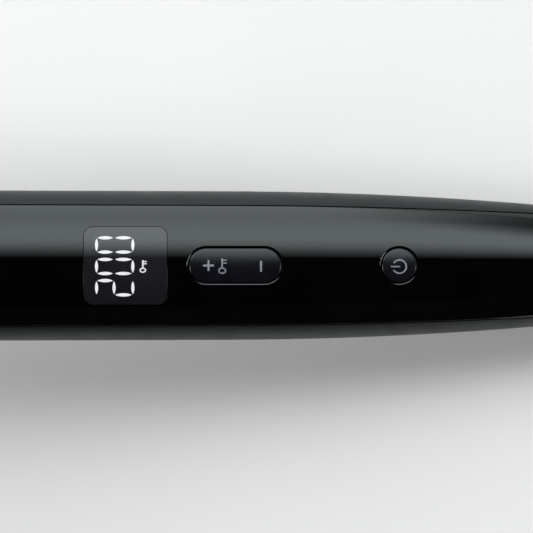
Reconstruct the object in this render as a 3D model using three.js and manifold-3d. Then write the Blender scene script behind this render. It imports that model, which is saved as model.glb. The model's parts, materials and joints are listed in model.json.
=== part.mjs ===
// A curling iron: coated barrel with a sprung clamp, folding stand, digital temperature control and cord swivel.
// It is drawn along X, from the barrel's tip to the cord end, with X = 0 on the handle's front face, the barrel's
// axis on Y = Z = 0 and the display facing +Z. The whole iron is then leant back on its stand. Millimetres.
import * as THREE from "three";
import { mergeVertices } from "three/addons/utils/BufferGeometryUtils.js";
import Module from "manifold-3d";

const wasm = await Module();
wasm.setup();

// Fits
const gap = 0.3; // between pieces that meet
const runningGap = 0.35; // round a piece that moves
const threadGap = 0.2; // round a screw in its pilot hole

// Handle
const handleLength = 196;
const handleWidth = 36.6;
const handleDepth = 29.2;
const tailWidth = 22.8;
const tailDepth = 21.2;
const sideDraw = 0.0034; // loss of half width for each millimetre along the handle
const taperStart = 89;
const frontRound = 2.5;
const wall = 2.5;
const railWidth = 3.56; // from the seam to the handle's side, at the front
const railTaper = 2.6; // what the rail loses by the tail
const seamGap = 0.35;
const coverStart = 6;
const coverCorner = 3;
const tailRingLength = 8.5;
const spigotLength = 6;

// Barrel and its heater
const barrelDiameter = 25;
const barrelWall = 0.9;
const barrelLength = 160;
const barrelRear = -6; // where the barrel ends inside the collar
const tipLength = 14;
const spreaderLength = 56;
const spreaderWall = 2;
const spreaderSetback = 36; // from the barrel's front end
const heaterThickness = 1.4;
const heaterWidth = 10;

// Collar that joins barrel and handle
const collarLength = 30;
const collarWall = 1.5;
const spigotRadius = 11.4;
const spigotReach = 14;
const throat = 8.6; // radius of the way through the collar for the leads
const collarEdge = 0.8; // chamfer at the collar's front
const earThickness = 2.2;
const lugIn = 6;
const lugOut = 8.6;
const barrelScrewX = -17;
const barrelScrewRadius = 0.95;

// Clamp
const clampThickness = 0.9;
const clampHalfAngle = 48; // degrees each side of the top
const clampFront = 12; // from the tip's shoulder back to the clamp's front edge
const clampPivotX = -10;
const clampPivotZ = 17.8;
const pinDiameter = 2.5;
const sheet = 1.2;
const bracketWidth = 9.2;
const bracketTongue = 18; // how far the bracket reaches over the plate, past the collar
const rivetRadius = 1.1;
const pinLobe = 3; // radius of the ears round the clamp's pin
const leverWidth = 19;
const leverThickness = 3;
const leverEnd = 30.5;
const leverRise = 26.6; // height of the thumb pad's underside over the barrel's axis

// Stand
const standPivotX = -24;
const standPivotZ = -16.8;
const footX = -19;
const footDrop = 36; // table to barrel axis, at the foot
const footWidth = 36;
const legThickness = 3.2;
const armWidth = 3;

// Controls
const displayX = 64;
const rockerX = 90.4;
const powerX = 129.8;
const windowLength = 20;
const windowWidth = 18.6;
const windowCorner = 2.2;
const windowThickness = 1.5;
const windowLedge = 1.2;
const rockerLength = 22.2;
const rockerWidth = 8.3;
const powerDiameter = 8.3;
const buttonProud = 0.45;
const buttonBottom = 11.4;
const rockerPivotZ = 10.6;
const axleDiameter = 1.6;
const legHalf = 1.7; // half width of the rocker's leg
const cheekThickness = 1.4; // of the posts that hold its axle
const rockerSwitchXs = [rockerX - 7.8, rockerX + 7.8];
const pressGap = 0.8; // between a button's plunger and its switch

// Boards
const boardThickness = 1.6;
const boardWidth = 22; // at most; a slimmer handle takes narrower boards
const controlBoardZ = 4.4;
const controlBoardFrom = 50;
const controlBoardTo = 142;
const powerBoardZ = -6;
const powerBoardFrom = 62;
const powerBoardTo = 138;
const powerScrewXs = [powerBoardFrom + 5, powerBoardTo - 5];
const switchSize = 6.2;
const switchHeight = 2.6;
const switchPlunger = 0.5;
const frameZ = 7.4;
const frameThickness = 1.2;

// Screws
const screwRadius = 1.25;
const screwHeadRadius = 2.5;
const headWell = 1.4; // depth of the wells that the case screws' heads lie in
const bossRadius = 3.2;
const parting = 1; // height at which the bosses of cover and shell meet
const collarScrewX = 8;
const coverScrewXs = [26, 154];

// Cord swivel
const swivelRadius = 8.3;
const swivelWall = 1.3;
const contactRadius = swivelRadius - 2.6;
const glandBore = swivelRadius - 4.1;
const glandNeck = swivelRadius - 2.3;
const glandFlange = swivelRadius - 0.3;
const swivelLength = 18;
const glandReach = 11; // past the tail ring

const barrelRadius = barrelDiameter / 2;
const barrelFront = barrelRear - barrelLength;
const collarRadius = barrelRadius + gap + collarWall;
const earIn = bracketWidth / 2 + runningGap + 0.25;
const earOut = earIn + earThickness;
const shellEnd = handleLength - tailRingLength;
const bracketFront = -collarLength - bracketTongue;
const rivetXs = [bracketFront + 4, bracketFront + 11];
const leverScrewX = clampPivotX + 14;
const plateTop = barrelRadius + gap + clampThickness;
const degrees = Math.PI / 180;

// ---------------------------------------------------------------- making solids

// A closed geometry as a solid that can be cut and joined.
function solid(geometry) {
  const bare = geometry.clone();
  bare.deleteAttribute("normal");
  bare.deleteAttribute("uv");
  const merged = mergeVertices(bare, 1e-4);
  const vertProperties = merged.attributes.position.array;
  const triVerts = new Uint32Array(merged.index.array);
  return new wasm.Manifold(new wasm.Mesh({ numProp: 3, vertProperties, triVerts }));
}

function geometryOf(made) {
  const mesh = made.getMesh();
  const geometry = new THREE.BufferGeometry();
  geometry.setAttribute("position", new THREE.BufferAttribute(mesh.vertProperties, 3));
  geometry.setIndex(new THREE.BufferAttribute(mesh.triVerts, 1));
  geometry.computeVertexNormals();
  return geometry;
}

// A body of revolution about X from [x, radius] pairs in order of x; a ring's pairs end where they begin.
function turned(profile, sides = 24) {
  const points = profile.map(([x, radius]) => new THREE.Vector2(radius, x));
  return new THREE.LatheGeometry(points, sides).rotateZ(-Math.PI / 2);
}

function block([x0, x1], [y0, y1], [z0, z1]) {
  const box = new THREE.BoxGeometry(x1 - x0, y1 - y0, z1 - z0);
  return box.translate((x0 + x1) / 2, (y0 + y1) / 2, (z0 + z1) / 2);
}

// A round bar along one axis, from `from` to `to` on that axis, centred on the other two coordinates.
function bar(axis, radius, [from, to], [a, b], sides = 20) {
  const cylinder = new THREE.CylinderGeometry(radius, radius, to - from, sides);
  const middle = (from + to) / 2;
  if (axis === "x") return cylinder.rotateZ(-Math.PI / 2).translate(middle, a, b);
  if (axis === "y") return cylinder.translate(a, middle, b);
  return cylinder.rotateX(Math.PI / 2).translate(a, b, middle);
}

// An outline in XY standing from z0 to z1.
function upright(shape, [z0, z1], curveSegments = 8) {
  return new THREE.ExtrudeGeometry(shape, { depth: z1 - z0, bevelEnabled: false, curveSegments })
    .translate(0, 0, z0);
}

// A side view in XZ running across the iron from y0 to y1.
function across(shape, [y0, y1], curveSegments = 6) {
  return new THREE.ExtrudeGeometry(shape, { depth: y1 - y0, bevelEnabled: false, curveSegments })
    .rotateX(Math.PI / 2)
    .translate(0, y1, 0);
}

function polygon(points) {
  return new THREE.Shape(points.map(([x, y]) => new THREE.Vector2(x, y)));
}

// A rectangle with rounded corners, centred on (x, 0).
function roundedRectangle(x, length, width, corner) {
  const [left, right, half] = [x - length / 2, x + length / 2, width / 2];
  const shape = new THREE.Shape();
  shape.absarc(right - corner, corner - half, corner, -Math.PI / 2, 0);
  shape.absarc(right - corner, half - corner, corner, 0, Math.PI / 2);
  shape.absarc(left + corner, half - corner, corner, Math.PI / 2, Math.PI);
  shape.absarc(left + corner, corner - half, corner, Math.PI, Math.PI * 1.5);
  return shape;
}

function disc(x, radius) {
  return new THREE.Shape().absarc(x, 0, radius, 0, 2 * Math.PI);
}

// A wire or cable of round section along a smooth route through the given points.
function wire(points, radius, steps, sides = 8) {
  const route = new THREE.CatmullRomCurve3(points.map((p) => new THREE.Vector3(...p)), false, "centripetal");
  return new THREE.ExtrudeGeometry(disc(0, radius), {
    steps,
    extrudePath: route,
    curveSegments: sides / 2,
    bevelEnabled: false,
  });
}

// ---------------------------------------------------------------- materials

const finish = (color, roughness, metalness = 0) =>
  new THREE.MeshStandardMaterial({ color, roughness, metalness });
const finishes = {
  glossBlack: finish("#050506", 0.08),
  satinGrey: finish("#2c3032", 0.45),
  smokedWindow: finish("#16171a", 0.12),
  softButton: finish("#24252a", 0.4),
  coatedBarrel: finish("#3b3a3c", 0.35, 0.6),
  heatPlastic: finish("#1b1c1e", 0.5),
  steel: finish("#b9bcc0", 0.35, 1),
  aluminium: finish("#c3c6c9", 0.45, 1),
  brass: finish("#c8a35a", 0.35, 1),
  board: finish("#1f5a3a", 0.6),
  chip: finish("#17181a", 0.5),
  ceramicWhite: finish("#e9e6df", 0.5),
  ledBody: finish("#3a3d40", 0.6),
  silicone: finish("#b9453b", 0.6),
  filmBlue: finish("#2f5f9e", 0.45),
};

const iron = new THREE.Group();

function add(name, geometry, material) {
  const mesh = new THREE.Mesh(geometry, finishes[material]);
  mesh.name = name;
  iron.add(mesh);
  return mesh;
}

// ---------------------------------------------------------------- handle

// How far the taper has run at x: 0 where it starts, 1 at the handle's end.
const taper = (x) => (Math.max(0, x - taperStart) / (handleLength - taperStart)) ** 2;
const widthLoss = handleWidth / 2 - sideDraw * handleLength - tailWidth / 2;
const halfWidth = (x) => handleWidth / 2 - sideDraw * x - widthLoss * taper(x);
const halfDepth = (x) => handleDepth / 2 - ((handleDepth - tailDepth) / 2) * taper(x);
const seamY = (x) => halfWidth(x) - railWidth + railTaper * taper(x);
// Height of the handle's top surface, inset by `inset`.
const topZ = (x, y, inset = 0) =>
  (halfDepth(x) - inset) * Math.sqrt(1 - (y / (halfWidth(x) - inset)) ** 2);

// Half width of the room inside the handle at height z.
const innerHalf = (x, z) => (halfWidth(x) - wall) * Math.sqrt(1 - (z / (halfDepth(x) - wall)) ** 2);

function stations(from, to, step = 18) {
  const count = Math.max(1, Math.round((to - from) / step));
  return Array.from({ length: count + 1 }, (_, i) => from + ((to - from) * i) / count);
}

// The handle's outer form between two stations, inset by `inset`, with its front edge rounded by `round`.
function handleForm(from, to, inset = 0, round = 0) {
  const roundSteps = round > 0 ? 3 : 0;
  const profile = [[from, 0]];
  for (let i = 0; i < roundSteps; i++) {
    const turn = (i / roundSteps) * 90 * degrees;
    const x = from + round * (1 - Math.cos(turn));
    profile.push([x, halfWidth(x) - inset - round * (1 - Math.sin(turn))]);
  }
  for (const x of stations(from + round, to)) profile.push([x, halfWidth(x) - inset]);
  profile.push([to, 0]);
  const form = turned(profile, 32);
  const position = form.attributes.position;
  for (let i = 0; i < position.count; i++) {
    const x = position.getX(i);
    position.setZ(i, (position.getZ(i) * (halfDepth(x) - inset)) / (halfWidth(x) - inset));
  }
  return solid(form);
}

// Plan outline of the cover, grown by `grow` across the seam.
function coverOutline(grow) {
  const start = coverStart - grow;
  const corner = coverCorner + grow;
  const side = stations(start + corner, shellEnd + 1, 10).map((x) => [x, seamY(x) + grow]);
  const shape = new THREE.Shape();
  shape.moveTo(start, 0);
  shape.lineTo(start, corner - side[0][1]);
  shape.quadraticCurveTo(start, -side[0][1], start + corner, -side[0][1]);
  for (const [x, y] of side.slice(1)) shape.lineTo(x, -y);
  for (const [x, y] of side.slice(1).reverse()) shape.lineTo(x, y);
  shape.lineTo(start + corner, side[0][1]);
  shape.quadraticCurveTo(start, side[0][1], start, side[0][1] - corner);
  return shape;
}

const outer = handleForm(0, shellEnd, 0, frontRound);
const inner = handleForm(wall, shellEnd + 1, wall);
const skin = outer.subtract(inner);
const above = [0, handleDepth];
const coverPrism = (grow) => solid(upright(coverOutline(grow), above));
const controlPrism = (shape) => solid(upright(shape, above));
const within = (inset) => handleForm(wall / 2, shellEnd, inset);

const windowShape = (grow) =>
  roundedRectangle(displayX, windowLength + 2 * grow, windowWidth + 2 * grow, windowCorner + grow);
const rockerShape = (grow) =>
  roundedRectangle(rockerX, rockerLength + 2 * grow, rockerWidth + 2 * grow, rockerWidth / 2 + grow - 0.01);
const powerShape = (grow) => disc(powerX, powerDiameter / 2 + grow);

function upperCover() {
  const pocket = controlPrism(windowShape(gap)).subtract(handleForm(wall, shellEnd, windowThickness + gap));
  let cover = skin.intersect(coverPrism(-seamGap / 2));
  for (const x of coverScrewXs) {
    const boss = solid(bar("z", bossRadius, [parting, handleDepth / 2], [x, 0])).intersect(within(wall / 2));
    cover = cover.add(boss);
  }
  for (const x of coverScrewXs) {
    const depth = [parting - 1, parting + 7];
    cover = cover.subtract(solid(bar("z", screwRadius + threadGap, depth, [x, 0], 12)));
  }
  return cover
    .subtract(pocket)
    .subtract(controlPrism(windowShape(-windowLedge)))
    .subtract(controlPrism(rockerShape(gap)))
    .subtract(controlPrism(powerShape(gap)));
}

function lowerShell() {
  let shell = skin.subtract(coverPrism(seamGap / 2));
  const bosses = coverScrewXs.map((x) => [x, parting - gap]);
  for (const [x, top] of bosses) {
    const boss = solid(bar("z", bossRadius, [-handleDepth / 2, top], [x, 0])).intersect(within(wall / 2));
    shell = shell.add(boss);
  }
  for (const x of powerScrewXs) {
    const post = solid(bar("z", 2.4, [-handleDepth / 2, powerBoardZ - gap], [x, 0], 16));
    shell = shell.add(post.intersect(within(wall / 2)));
    shell = shell.subtract(solid(bar("z", 1, [powerBoardZ - 4, powerBoardZ], [x, 0], 12)));
  }
  for (const [x] of bosses) {
    shell = shell.subtract(solid(bar("z", screwRadius + threadGap, [-handleDepth, handleDepth], [x, 0], 12)));
    shell = shell.subtract(solid(bar("z", screwHeadRadius + gap, [-handleDepth, headZ(x)], [x, 0])));
  }
  shell = shell.subtract(solid(bar("z", screwRadius + threadGap, [-handleDepth, 0], [collarScrewX, 0], 12)));
  const head = [-handleDepth, headZ(collarScrewX)];
  shell = shell.subtract(solid(bar("z", screwHeadRadius + gap, head, [collarScrewX, 0])));
  return shell.subtract(solid(bar("x", spigotRadius + gap, [-1, wall + 1], [0, 0], 32)));
}

// Height of the seat under a case screw's head: the heads lie in shallow wells in the shell's underside.
function headZ(x) {
  return headWell - halfDepth(x);
}

function screw(name, x, top) {
  const seat = headZ(x) - gap;
  const head = solid(bar("z", screwHeadRadius, [seat - 1, seat], [x, 0]));
  const slot = solid(block([x - 1.6, x + 1.6], [-0.3, 0.3], [seat - 2, seat - 0.5]));
  const cross = solid(block([x - 0.3, x + 0.3], [-1.6, 1.6], [seat - 2, seat - 0.5]));
  const shank = solid(bar("z", screwRadius, [seat - 0.5, top], [x, 0], 12));
  add(name, geometryOf(head.subtract(slot).subtract(cross).add(shank)), "steel");
}

add("upper_cover", geometryOf(upperCover()), "glossBlack");
add("lower_shell", geometryOf(lowerShell()), "satinGrey");
screw("collar_screw", collarScrewX, -spigotRadius + 2);
screw("cover_screw_front", coverScrewXs[0], parting + 5);
screw("cover_screw_rear", coverScrewXs[1], parting + 5);

function tailRing() {
  const body = handleForm(shellEnd + gap, handleLength, 0);
  const spigot = handleForm(shellEnd - spigotLength, shellEnd + 1, wall + gap);
  const hollow = handleForm(shellEnd - spigotLength - 1, handleLength - 2, wall + gap + 1.2);
  const neck = solid(bar("x", glandNeck + runningGap, [handleLength - 4, handleLength + 1], [0, 0], 32));
  return body.add(spigot).subtract(hollow).subtract(neck);
}

add("tail_ring", geometryOf(tailRing()), "satinGrey");

// ---------------------------------------------------------------- collar and barrel

function barrelCollar() {
  const seat = barrelRadius + gap;
  const stop = barrelRear + gap;
  let collar = solid(turned([
    [-collarLength, seat], [-collarLength, collarRadius - collarEdge], [collarEdge - collarLength, collarRadius],
    [-gap, collarRadius], [-gap, spigotRadius], [spigotReach, spigotRadius], [spigotReach, throat],
    [stop, throat], [stop, seat], [-collarLength, seat],
  ], 32));
  const ear = new THREE.Shape();
  ear.moveTo(clampPivotX - 5.5, barrelRadius - 3);
  ear.lineTo(clampPivotX - pinLobe, clampPivotZ);
  ear.absarc(clampPivotX, clampPivotZ, pinLobe, Math.PI, 0, true);
  ear.lineTo(clampPivotX + 5.5, barrelRadius - 3);
  const lug = new THREE.Shape();
  lug.moveTo(standPivotX - 4, 4 - barrelRadius);
  lug.lineTo(standPivotX - 2.8, standPivotZ);
  lug.absarc(standPivotX, standPivotZ, 2.8, Math.PI, 2 * Math.PI, false);
  lug.lineTo(standPivotX + 5, 4 - barrelRadius);
  const bore = solid(bar("x", seat, [-collarLength - 1, stop], [0, 0], 32));
  for (const side of [-1, 1]) {
    const earSpan = [side * earIn, side * earOut].sort((a, b) => a - b);
    const lugSpan = [side * lugIn, side * lugOut].sort((a, b) => a - b);
    collar = collar.add(solid(across(ear, earSpan)).subtract(bore));
    collar = collar.add(solid(across(lug, lugSpan)).subtract(bore));
  }
  const pinHole = pinDiameter / 2 + threadGap;
  return collar
    .subtract(solid(bar("y", barrelScrewRadius + threadGap, [-20, 20], [barrelScrewX, 0], 12)))
    .subtract(solid(bar("y", pinHole, [-20, 20], [clampPivotX, clampPivotZ])))
    .subtract(solid(bar("y", pinHole, [-20, 20], [standPivotX, standPivotZ])))
    .subtract(solid(bar("z", screwRadius + threadGap, [-20, 0], [collarScrewX, 0], 12)));
}

add("barrel_collar", geometryOf(barrelCollar()), "heatPlastic");

function barrel() {
  const tube = solid(turned([
    [barrelFront, barrelRadius - barrelWall], [barrelFront, barrelRadius], [barrelRear, barrelRadius],
    [barrelRear, barrelRadius - barrelWall], [barrelFront, barrelRadius - barrelWall],
  ], 32));
  return tube.subtract(solid(bar("y", barrelScrewRadius + threadGap, [-20, 20], [barrelScrewX, 0], 12)));
}

add("barrel", geometryOf(barrel()), "coatedBarrel");
for (const [name, side] of [["barrel_screw_left", -1], ["barrel_screw_right", 1]]) {
  const span = [side * (barrelRadius - barrelWall - 1), side * (collarRadius - 0.2)].sort((a, b) => a - b);
  add(name, bar("y", barrelScrewRadius, span, [barrelScrewX, 0], 12), "steel");
}

function coolTip() {
  const inside = barrelRadius - barrelWall - gap;
  const shoulder = barrelFront - gap;
  const front = shoulder - tipLength;
  const nose = 5;
  const profile = [[front, 0]];
  for (let i = 0; i <= 5; i++) {
    const turn = (i / 5) * 90 * degrees;
    profile.push([front + nose * (1 - Math.cos(turn)), barrelRadius - nose * (1 - Math.sin(turn))]);
  }
  profile.push([shoulder, barrelRadius], [shoulder, inside], [shoulder + 7, inside], [shoulder + 7, 0]);
  const well = solid(bar("x", screwHeadRadius + gap, [front - 1, front + 3], [0, 0]));
  const hollow = solid(bar("x", inside - 2, [front + 5, shoulder + 8], [0, 0]));
  const hole = solid(bar("x", screwRadius + threadGap, [front, shoulder + 8], [0, 0], 12));
  return solid(turned(profile, 32)).subtract(well).subtract(hollow).subtract(hole);
}

function tipScrew() {
  const seat = barrelFront - gap - tipLength + 3 - gap;
  const head = solid(bar("x", screwHeadRadius, [seat - 1.4, seat], [0, 0]));
  const shank = solid(bar("x", screwRadius, [seat - 0.2, barrelFront + 13], [0, 0], 12));
  const slot = solid(block([seat - 2, seat - 0.7], [-1.6, 1.6], [-0.3, 0.3]));
  return head.add(shank).subtract(slot);
}

// A steel strap across the barrel's mouth, which the tip's screw pulls on.
function tipAnchor() {
  const half = barrelRadius - barrelWall - gap - 0.2;
  const from = barrelFront + 8.6;
  const strap = solid(block([from, from + 1.5], [-Math.sqrt(half ** 2 - 9), Math.sqrt(half ** 2 - 9)], [-3, 3]));
  return strap.subtract(solid(bar("x", screwRadius + threadGap, [from - 1, from + 3], [0, 0], 12)));
}

add("cool_tip", geometryOf(coolTip()), "heatPlastic");
add("tip_screw", geometryOf(tipScrew()), "steel");
add("tip_anchor", geometryOf(tipAnchor()), "steel");

// Two hollow half-round extrusions press the heater plate between them and carry its heat to the barrel.
const spreaderFrom = barrelFront + spreaderSetback;
const spreaderTo = spreaderFrom + spreaderLength;
function spreader(side) {
  const outside = barrelRadius - barrelWall - gap;
  const flat = heaterThickness / 2 + gap;
  const halfRound = (radius, bottom) => {
    const angle = Math.asin(bottom / radius);
    const shape = new THREE.Shape();
    shape.absarc(0, 0, radius, angle, Math.PI - angle);
    return shape;
  };
  const section = halfRound(outside, flat);
  section.holes.push(halfRound(outside - spreaderWall, flat + spreaderWall));
  const bar = new THREE.ExtrudeGeometry(section, { depth: spreaderLength, bevelEnabled: false, curveSegments: 14 });
  bar.rotateY(Math.PI / 2).rotateX(side * Math.PI / 2);
  return bar.translate(spreaderFrom, 0, 0);
}

add("heat_spreader_upper", spreader(1), "aluminium");
add("heat_spreader_lower", spreader(-1), "aluminium");
const halfHeater = [-heaterThickness / 2, heaterThickness / 2];
const heaterSpan = [spreaderFrom + 2, spreaderTo + 4];
add("heater_plate", block(heaterSpan, [-heaterWidth / 2, heaterWidth / 2], halfHeater), "ceramicWhite");
const sensorX = spreaderTo + 1.8;
add("thermistor", new THREE.SphereGeometry(1.3, 12, 8).translate(sensorX, 0, 8.3), "ceramicWhite");
const fuseX = [spreaderTo + 8, spreaderTo + 20];
add("thermal_fuse", bar("x", 1.8, fuseX, [0, -4.2], 12), "ceramicWhite");

// ---------------------------------------------------------------- clamp

function clampPlate() {
  const inside = barrelRadius + gap;
  const front = barrelFront + clampFront;
  const rear = -collarLength - 1.6;
  const half = clampHalfAngle * degrees;
  const section = new THREE.Shape();
  section.absarc(0, 0, inside + clampThickness, Math.PI / 2 - half, Math.PI / 2 + half);
  section.absarc(0, 0, inside, Math.PI / 2 + half, Math.PI / 2 - half, true);
  const sector = new THREE.ExtrudeGeometry(section, { depth: rear - front, bevelEnabled: false, curveSegments: 14 });
  sector.rotateX(Math.PI / 2).rotateZ(Math.PI / 2).translate(front, 0, 0);
  const edge = (inside + clampThickness) * Math.sin(half) + 0.1;
  const plan = new THREE.Shape();
  plan.moveTo(rear + 1, -edge);
  plan.lineTo(rear + 1, edge);
  plan.lineTo(front + 16, edge);
  plan.bezierCurveTo(front + 5, edge, front, edge * 0.55, front, 0);
  plan.bezierCurveTo(front, -edge * 0.55, front + 5, -edge, front + 16, -edge);
  let plate = solid(sector).intersect(solid(upright(plan, [0, 2 * barrelRadius])));
  for (const x of rivetXs) plate = plate.subtract(solid(bar("z", rivetRadius + gap, [0, 20], [x, 0], 12)));
  return plate;
}

// The bracket's web runs from a tongue on the plate, over the pin, and back under the lever.
function clampBracket() {
  const low = plateTop + gap;
  const high = clampPivotZ + 4;
  const rear = clampPivotX + 18;
  const lift = 0.9;
  const web = (z) => [
    [bracketFront, low + z], [-collarLength - 2, low + z], [-collarLength + 1, low + lift + z],
    [clampPivotX - 6.5, low + lift + 1 + z], [clampPivotX - 2, high + z], [rear, high + lift + z],
  ];
  const strip = solid(across(polygon([...web(0), ...web(sheet).reverse()]), [-bracketWidth / 2, bracketWidth / 2]));
  const ear = new THREE.Shape();
  ear.moveTo(clampPivotX - 3, high + 0.6);
  ear.lineTo(clampPivotX - 3, clampPivotZ);
  ear.absarc(clampPivotX, clampPivotZ, 2.9, Math.PI, 2 * Math.PI, false);
  ear.lineTo(clampPivotX + 5, high + 0.6);
  const side = bracketWidth / 2;
  let bracket = strip;
  for (const span of [[-side, sheet - side], [side - sheet, side]]) bracket = bracket.add(solid(across(ear, span)));
  bracket = bracket.subtract(solid(bar("y", pinDiameter / 2 + runningGap, [-9, 9], [clampPivotX, clampPivotZ])));
  for (const x of rivetXs) bracket = bracket.subtract(solid(bar("z", rivetRadius + gap, [0, 30], [x, 0], 12)));
  return bracket.subtract(solid(bar("z", rivetRadius + gap, [0, 40], [leverScrewX, 0], 12)));
}

function clampRivet(x) {
  const low = plateTop + gap;
  const head = solid(bar("z", 2, [low + sheet + gap, low + sheet + gap + 0.9], [x, 0], 16));
  const shank = solid(bar("z", rivetRadius, [barrelRadius + gap + 0.1, low + sheet + gap + 0.2], [x, 0], 12));
  return head.add(shank);
}

// The lever is a moulded saddle over the bracket that sweeps up and back into a thumb pad.
function clampLever() {
  const top = clampPivotZ + 5.2 + gap + 2.4;
  const front = clampPivotX - 12;
  const side = new THREE.Shape();
  side.moveTo(front, top - 6.5);
  side.quadraticCurveTo(front + 2, top - 0.6, front + 10, top - 0.2);
  side.bezierCurveTo(4, top + 0.4, 12, leverRise + leverThickness - 2.6, leverEnd, leverRise + leverThickness);
  side.lineTo(leverEnd, leverRise);
  side.bezierCurveTo(16, leverRise - 3, 10, top - leverThickness + 0.3, clampPivotX + 8, clampPivotZ - 1);
  side.lineTo(clampPivotX - 7, clampPivotZ - 2.2);
  const half = leverWidth / 2;
  const plan = new THREE.Shape();
  plan.moveTo(front - 1, 0);
  plan.lineTo(front - 1, 2 - half);
  plan.bezierCurveTo(front + 6, 1 - half, 8, 1 - half, 15, -half);
  plan.bezierCurveTo(23, -half - 0.2, leverEnd, -half + 1, leverEnd, 0);
  plan.bezierCurveTo(leverEnd, half - 1, 23, half + 0.2, 15, half);
  plan.bezierCurveTo(8, half - 1, front + 6, half - 1, front - 1, half - 2);
  const body = solid(across(side, [-half - 1, half + 1], 8)).intersect(solid(upright(plan, [0, 50], 8)));
  const webTop = clampPivotZ + 5.2 + gap;
  const cavity = polygon([
    [front - 5, 0], [clampPivotX + 22, 0], [clampPivotX + 19, webTop + 1], [clampPivotX - 3, webTop],
    [clampPivotX - 10, webTop - 4.4], [front - 5, webTop - 4.4],
  ]);
  const hollow = solid(across(cavity, [-earOut - runningGap, earOut + runningGap]));
  const pilot = solid(bar("z", rivetRadius + threadGap, [0, webTop + 1.8], [leverScrewX, 0], 12));
  return body.subtract(hollow).subtract(pilot);
}

function leverScrew() {
  const under = clampPivotZ + 4;
  const head = solid(bar("z", 2, [under - 1.1, under - 0.15], [leverScrewX, 0], 16));
  return head.add(solid(bar("z", rivetRadius, [under - 0.3, under + 3.2], [leverScrewX, 0], 12)));
}

// A torsion spring round the pin: its lower leg lies along the collar and its upper leg under the bracket.
function clampSpring() {
  const radius = 2.55;
  const wireRadius = 0.45;
  const turns = 4;
  const halfSpan = 2.1;
  const points = [[clampPivotX + 7.5, -halfSpan, clampPivotZ - radius]];
  const each = 10;
  for (let i = 0; i <= turns * each + each / 2; i++) {
    const angle = -Math.PI / 2 - (i / each) * 2 * Math.PI;
    const y = -halfSpan + (2 * halfSpan * i) / (turns * each + each / 2);
    points.push([clampPivotX + radius * Math.cos(angle), y, clampPivotZ + radius * Math.sin(angle)]);
  }
  points.push([clampPivotX + 3.4, halfSpan, clampPivotZ + radius]);
  return wire(points, wireRadius, 56, 6);
}

add("clamp_plate", geometryOf(clampPlate()), "coatedBarrel");
add("clamp_bracket", geometryOf(clampBracket()), "steel");
add("clamp_rivet_front", geometryOf(clampRivet(rivetXs[0])), "steel");
add("clamp_rivet_rear", geometryOf(clampRivet(rivetXs[1])), "steel");
add("clamp_lever", geometryOf(clampLever()), "satinGrey");
add("lever_screw", geometryOf(leverScrew()), "steel");
add("clamp_spring", clampSpring(), "steel");
add("clamp_pin", bar("y", pinDiameter / 2, [-earOut, earOut], [clampPivotX, clampPivotZ]), "steel");

// ---------------------------------------------------------------- stand

// Slope of the table, in the iron's own frame, through the stand's foot and under the handle.
const slopeTo = (x) => (footDrop - halfDepth(x)) / (x - footX);
const tableSlope = Math.min(...stations(frontRound, shellEnd).map(slopeTo),
  ...stations(shellEnd + gap, handleLength).map(slopeTo));
const lean = Math.atan(tableSlope);

function standLeg() {
  const armIn = lugOut + runningGap;
  const armOut = armIn + armWidth;
  const reach = Math.hypot(footX - standPivotX, footDrop + standPivotZ);
  const half = footWidth / 2;
  const footCentre = 1 - reach;
  const leg = new THREE.Shape();
  const [inside, outside] = [armIn + 0.2, armOut - 0.2];
  leg.moveTo(-outside, 0);
  leg.lineTo(-inside, 0);
  leg.bezierCurveTo(-inside, -6, -half + 4, -reach + 10, -half + 4.5, -reach + 7);
  leg.quadraticCurveTo(-half + 5, -reach + 4.6, -half + 8, -reach + 4.6);
  leg.lineTo(half - 8, -reach + 4.6);
  leg.quadraticCurveTo(half - 5, -reach + 4.6, half - 4.5, -reach + 7);
  leg.bezierCurveTo(half - 4, -reach + 10, inside, -6, inside, 0);
  leg.lineTo(outside, 0);
  leg.bezierCurveTo(outside, -6, half - 0.5, -reach + 10, half - 0.5, footCentre);
  leg.lineTo(0.5 - half, footCentre);
  leg.bezierCurveTo(0.5 - half, -reach + 10, -outside, -6, -outside, 0);
  const plate = new THREE.ExtrudeGeometry(leg, { depth: legThickness, bevelEnabled: false, curveSegments: 6 })
    .translate(0, 0, -legThickness / 2)
    .rotateX(Math.PI / 2)
    .rotateZ(Math.PI / 2);
  const foot = bar("y", 2.8, [-half, half], [0, footCentre]);
  let made = solid(plate).add(solid(foot));
  const eye = 3.2;
  for (const side of [-1, 1]) {
    const span = [side * armIn, side * armOut].sort((a, b) => a - b);
    made = made.add(solid(bar("y", eye, span, [0, 0])));
  }
  made = made.subtract(solid(bar("y", pinDiameter / 2 + runningGap, [-30, 30], [0, 0])));
  const standAngle = Math.atan2(footX - standPivotX, footDrop + standPivotZ);
  made = made.rotate([0, -standAngle / degrees, 0]).translate([standPivotX, 0, standPivotZ]);
  const table = solid(block([-60, 60], [-60, 60], [-40, 0]))
    .rotate([0, -lean / degrees, 0])
    .translate([footX, 0, -footDrop]);
  return made.subtract(table);
}

add("stand_leg", geometryOf(standLeg()), "heatPlastic");
const pinEnd = lugOut + runningGap + armWidth;
add("stand_pin", bar("y", pinDiameter / 2, [-pinEnd, pinEnd], [standPivotX, standPivotZ]), "steel");

// ---------------------------------------------------------------- controls

function displayWindow() {
  const lens = handleForm(wall, shellEnd, 0).subtract(handleForm(wall + 1, shellEnd + 1, windowThickness));
  return lens.intersect(controlPrism(windowShape(0)));
}

const switchTop = controlBoardZ + boardThickness + gap + switchHeight + switchPlunger;
const crowned = (shape) => solid(upright(shape, [buttonBottom, handleDepth])).intersect(
  handleForm(wall, shellEnd, -buttonProud),
);
const plungerZ = [switchTop + pressGap, buttonBottom + 0.5];

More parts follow.
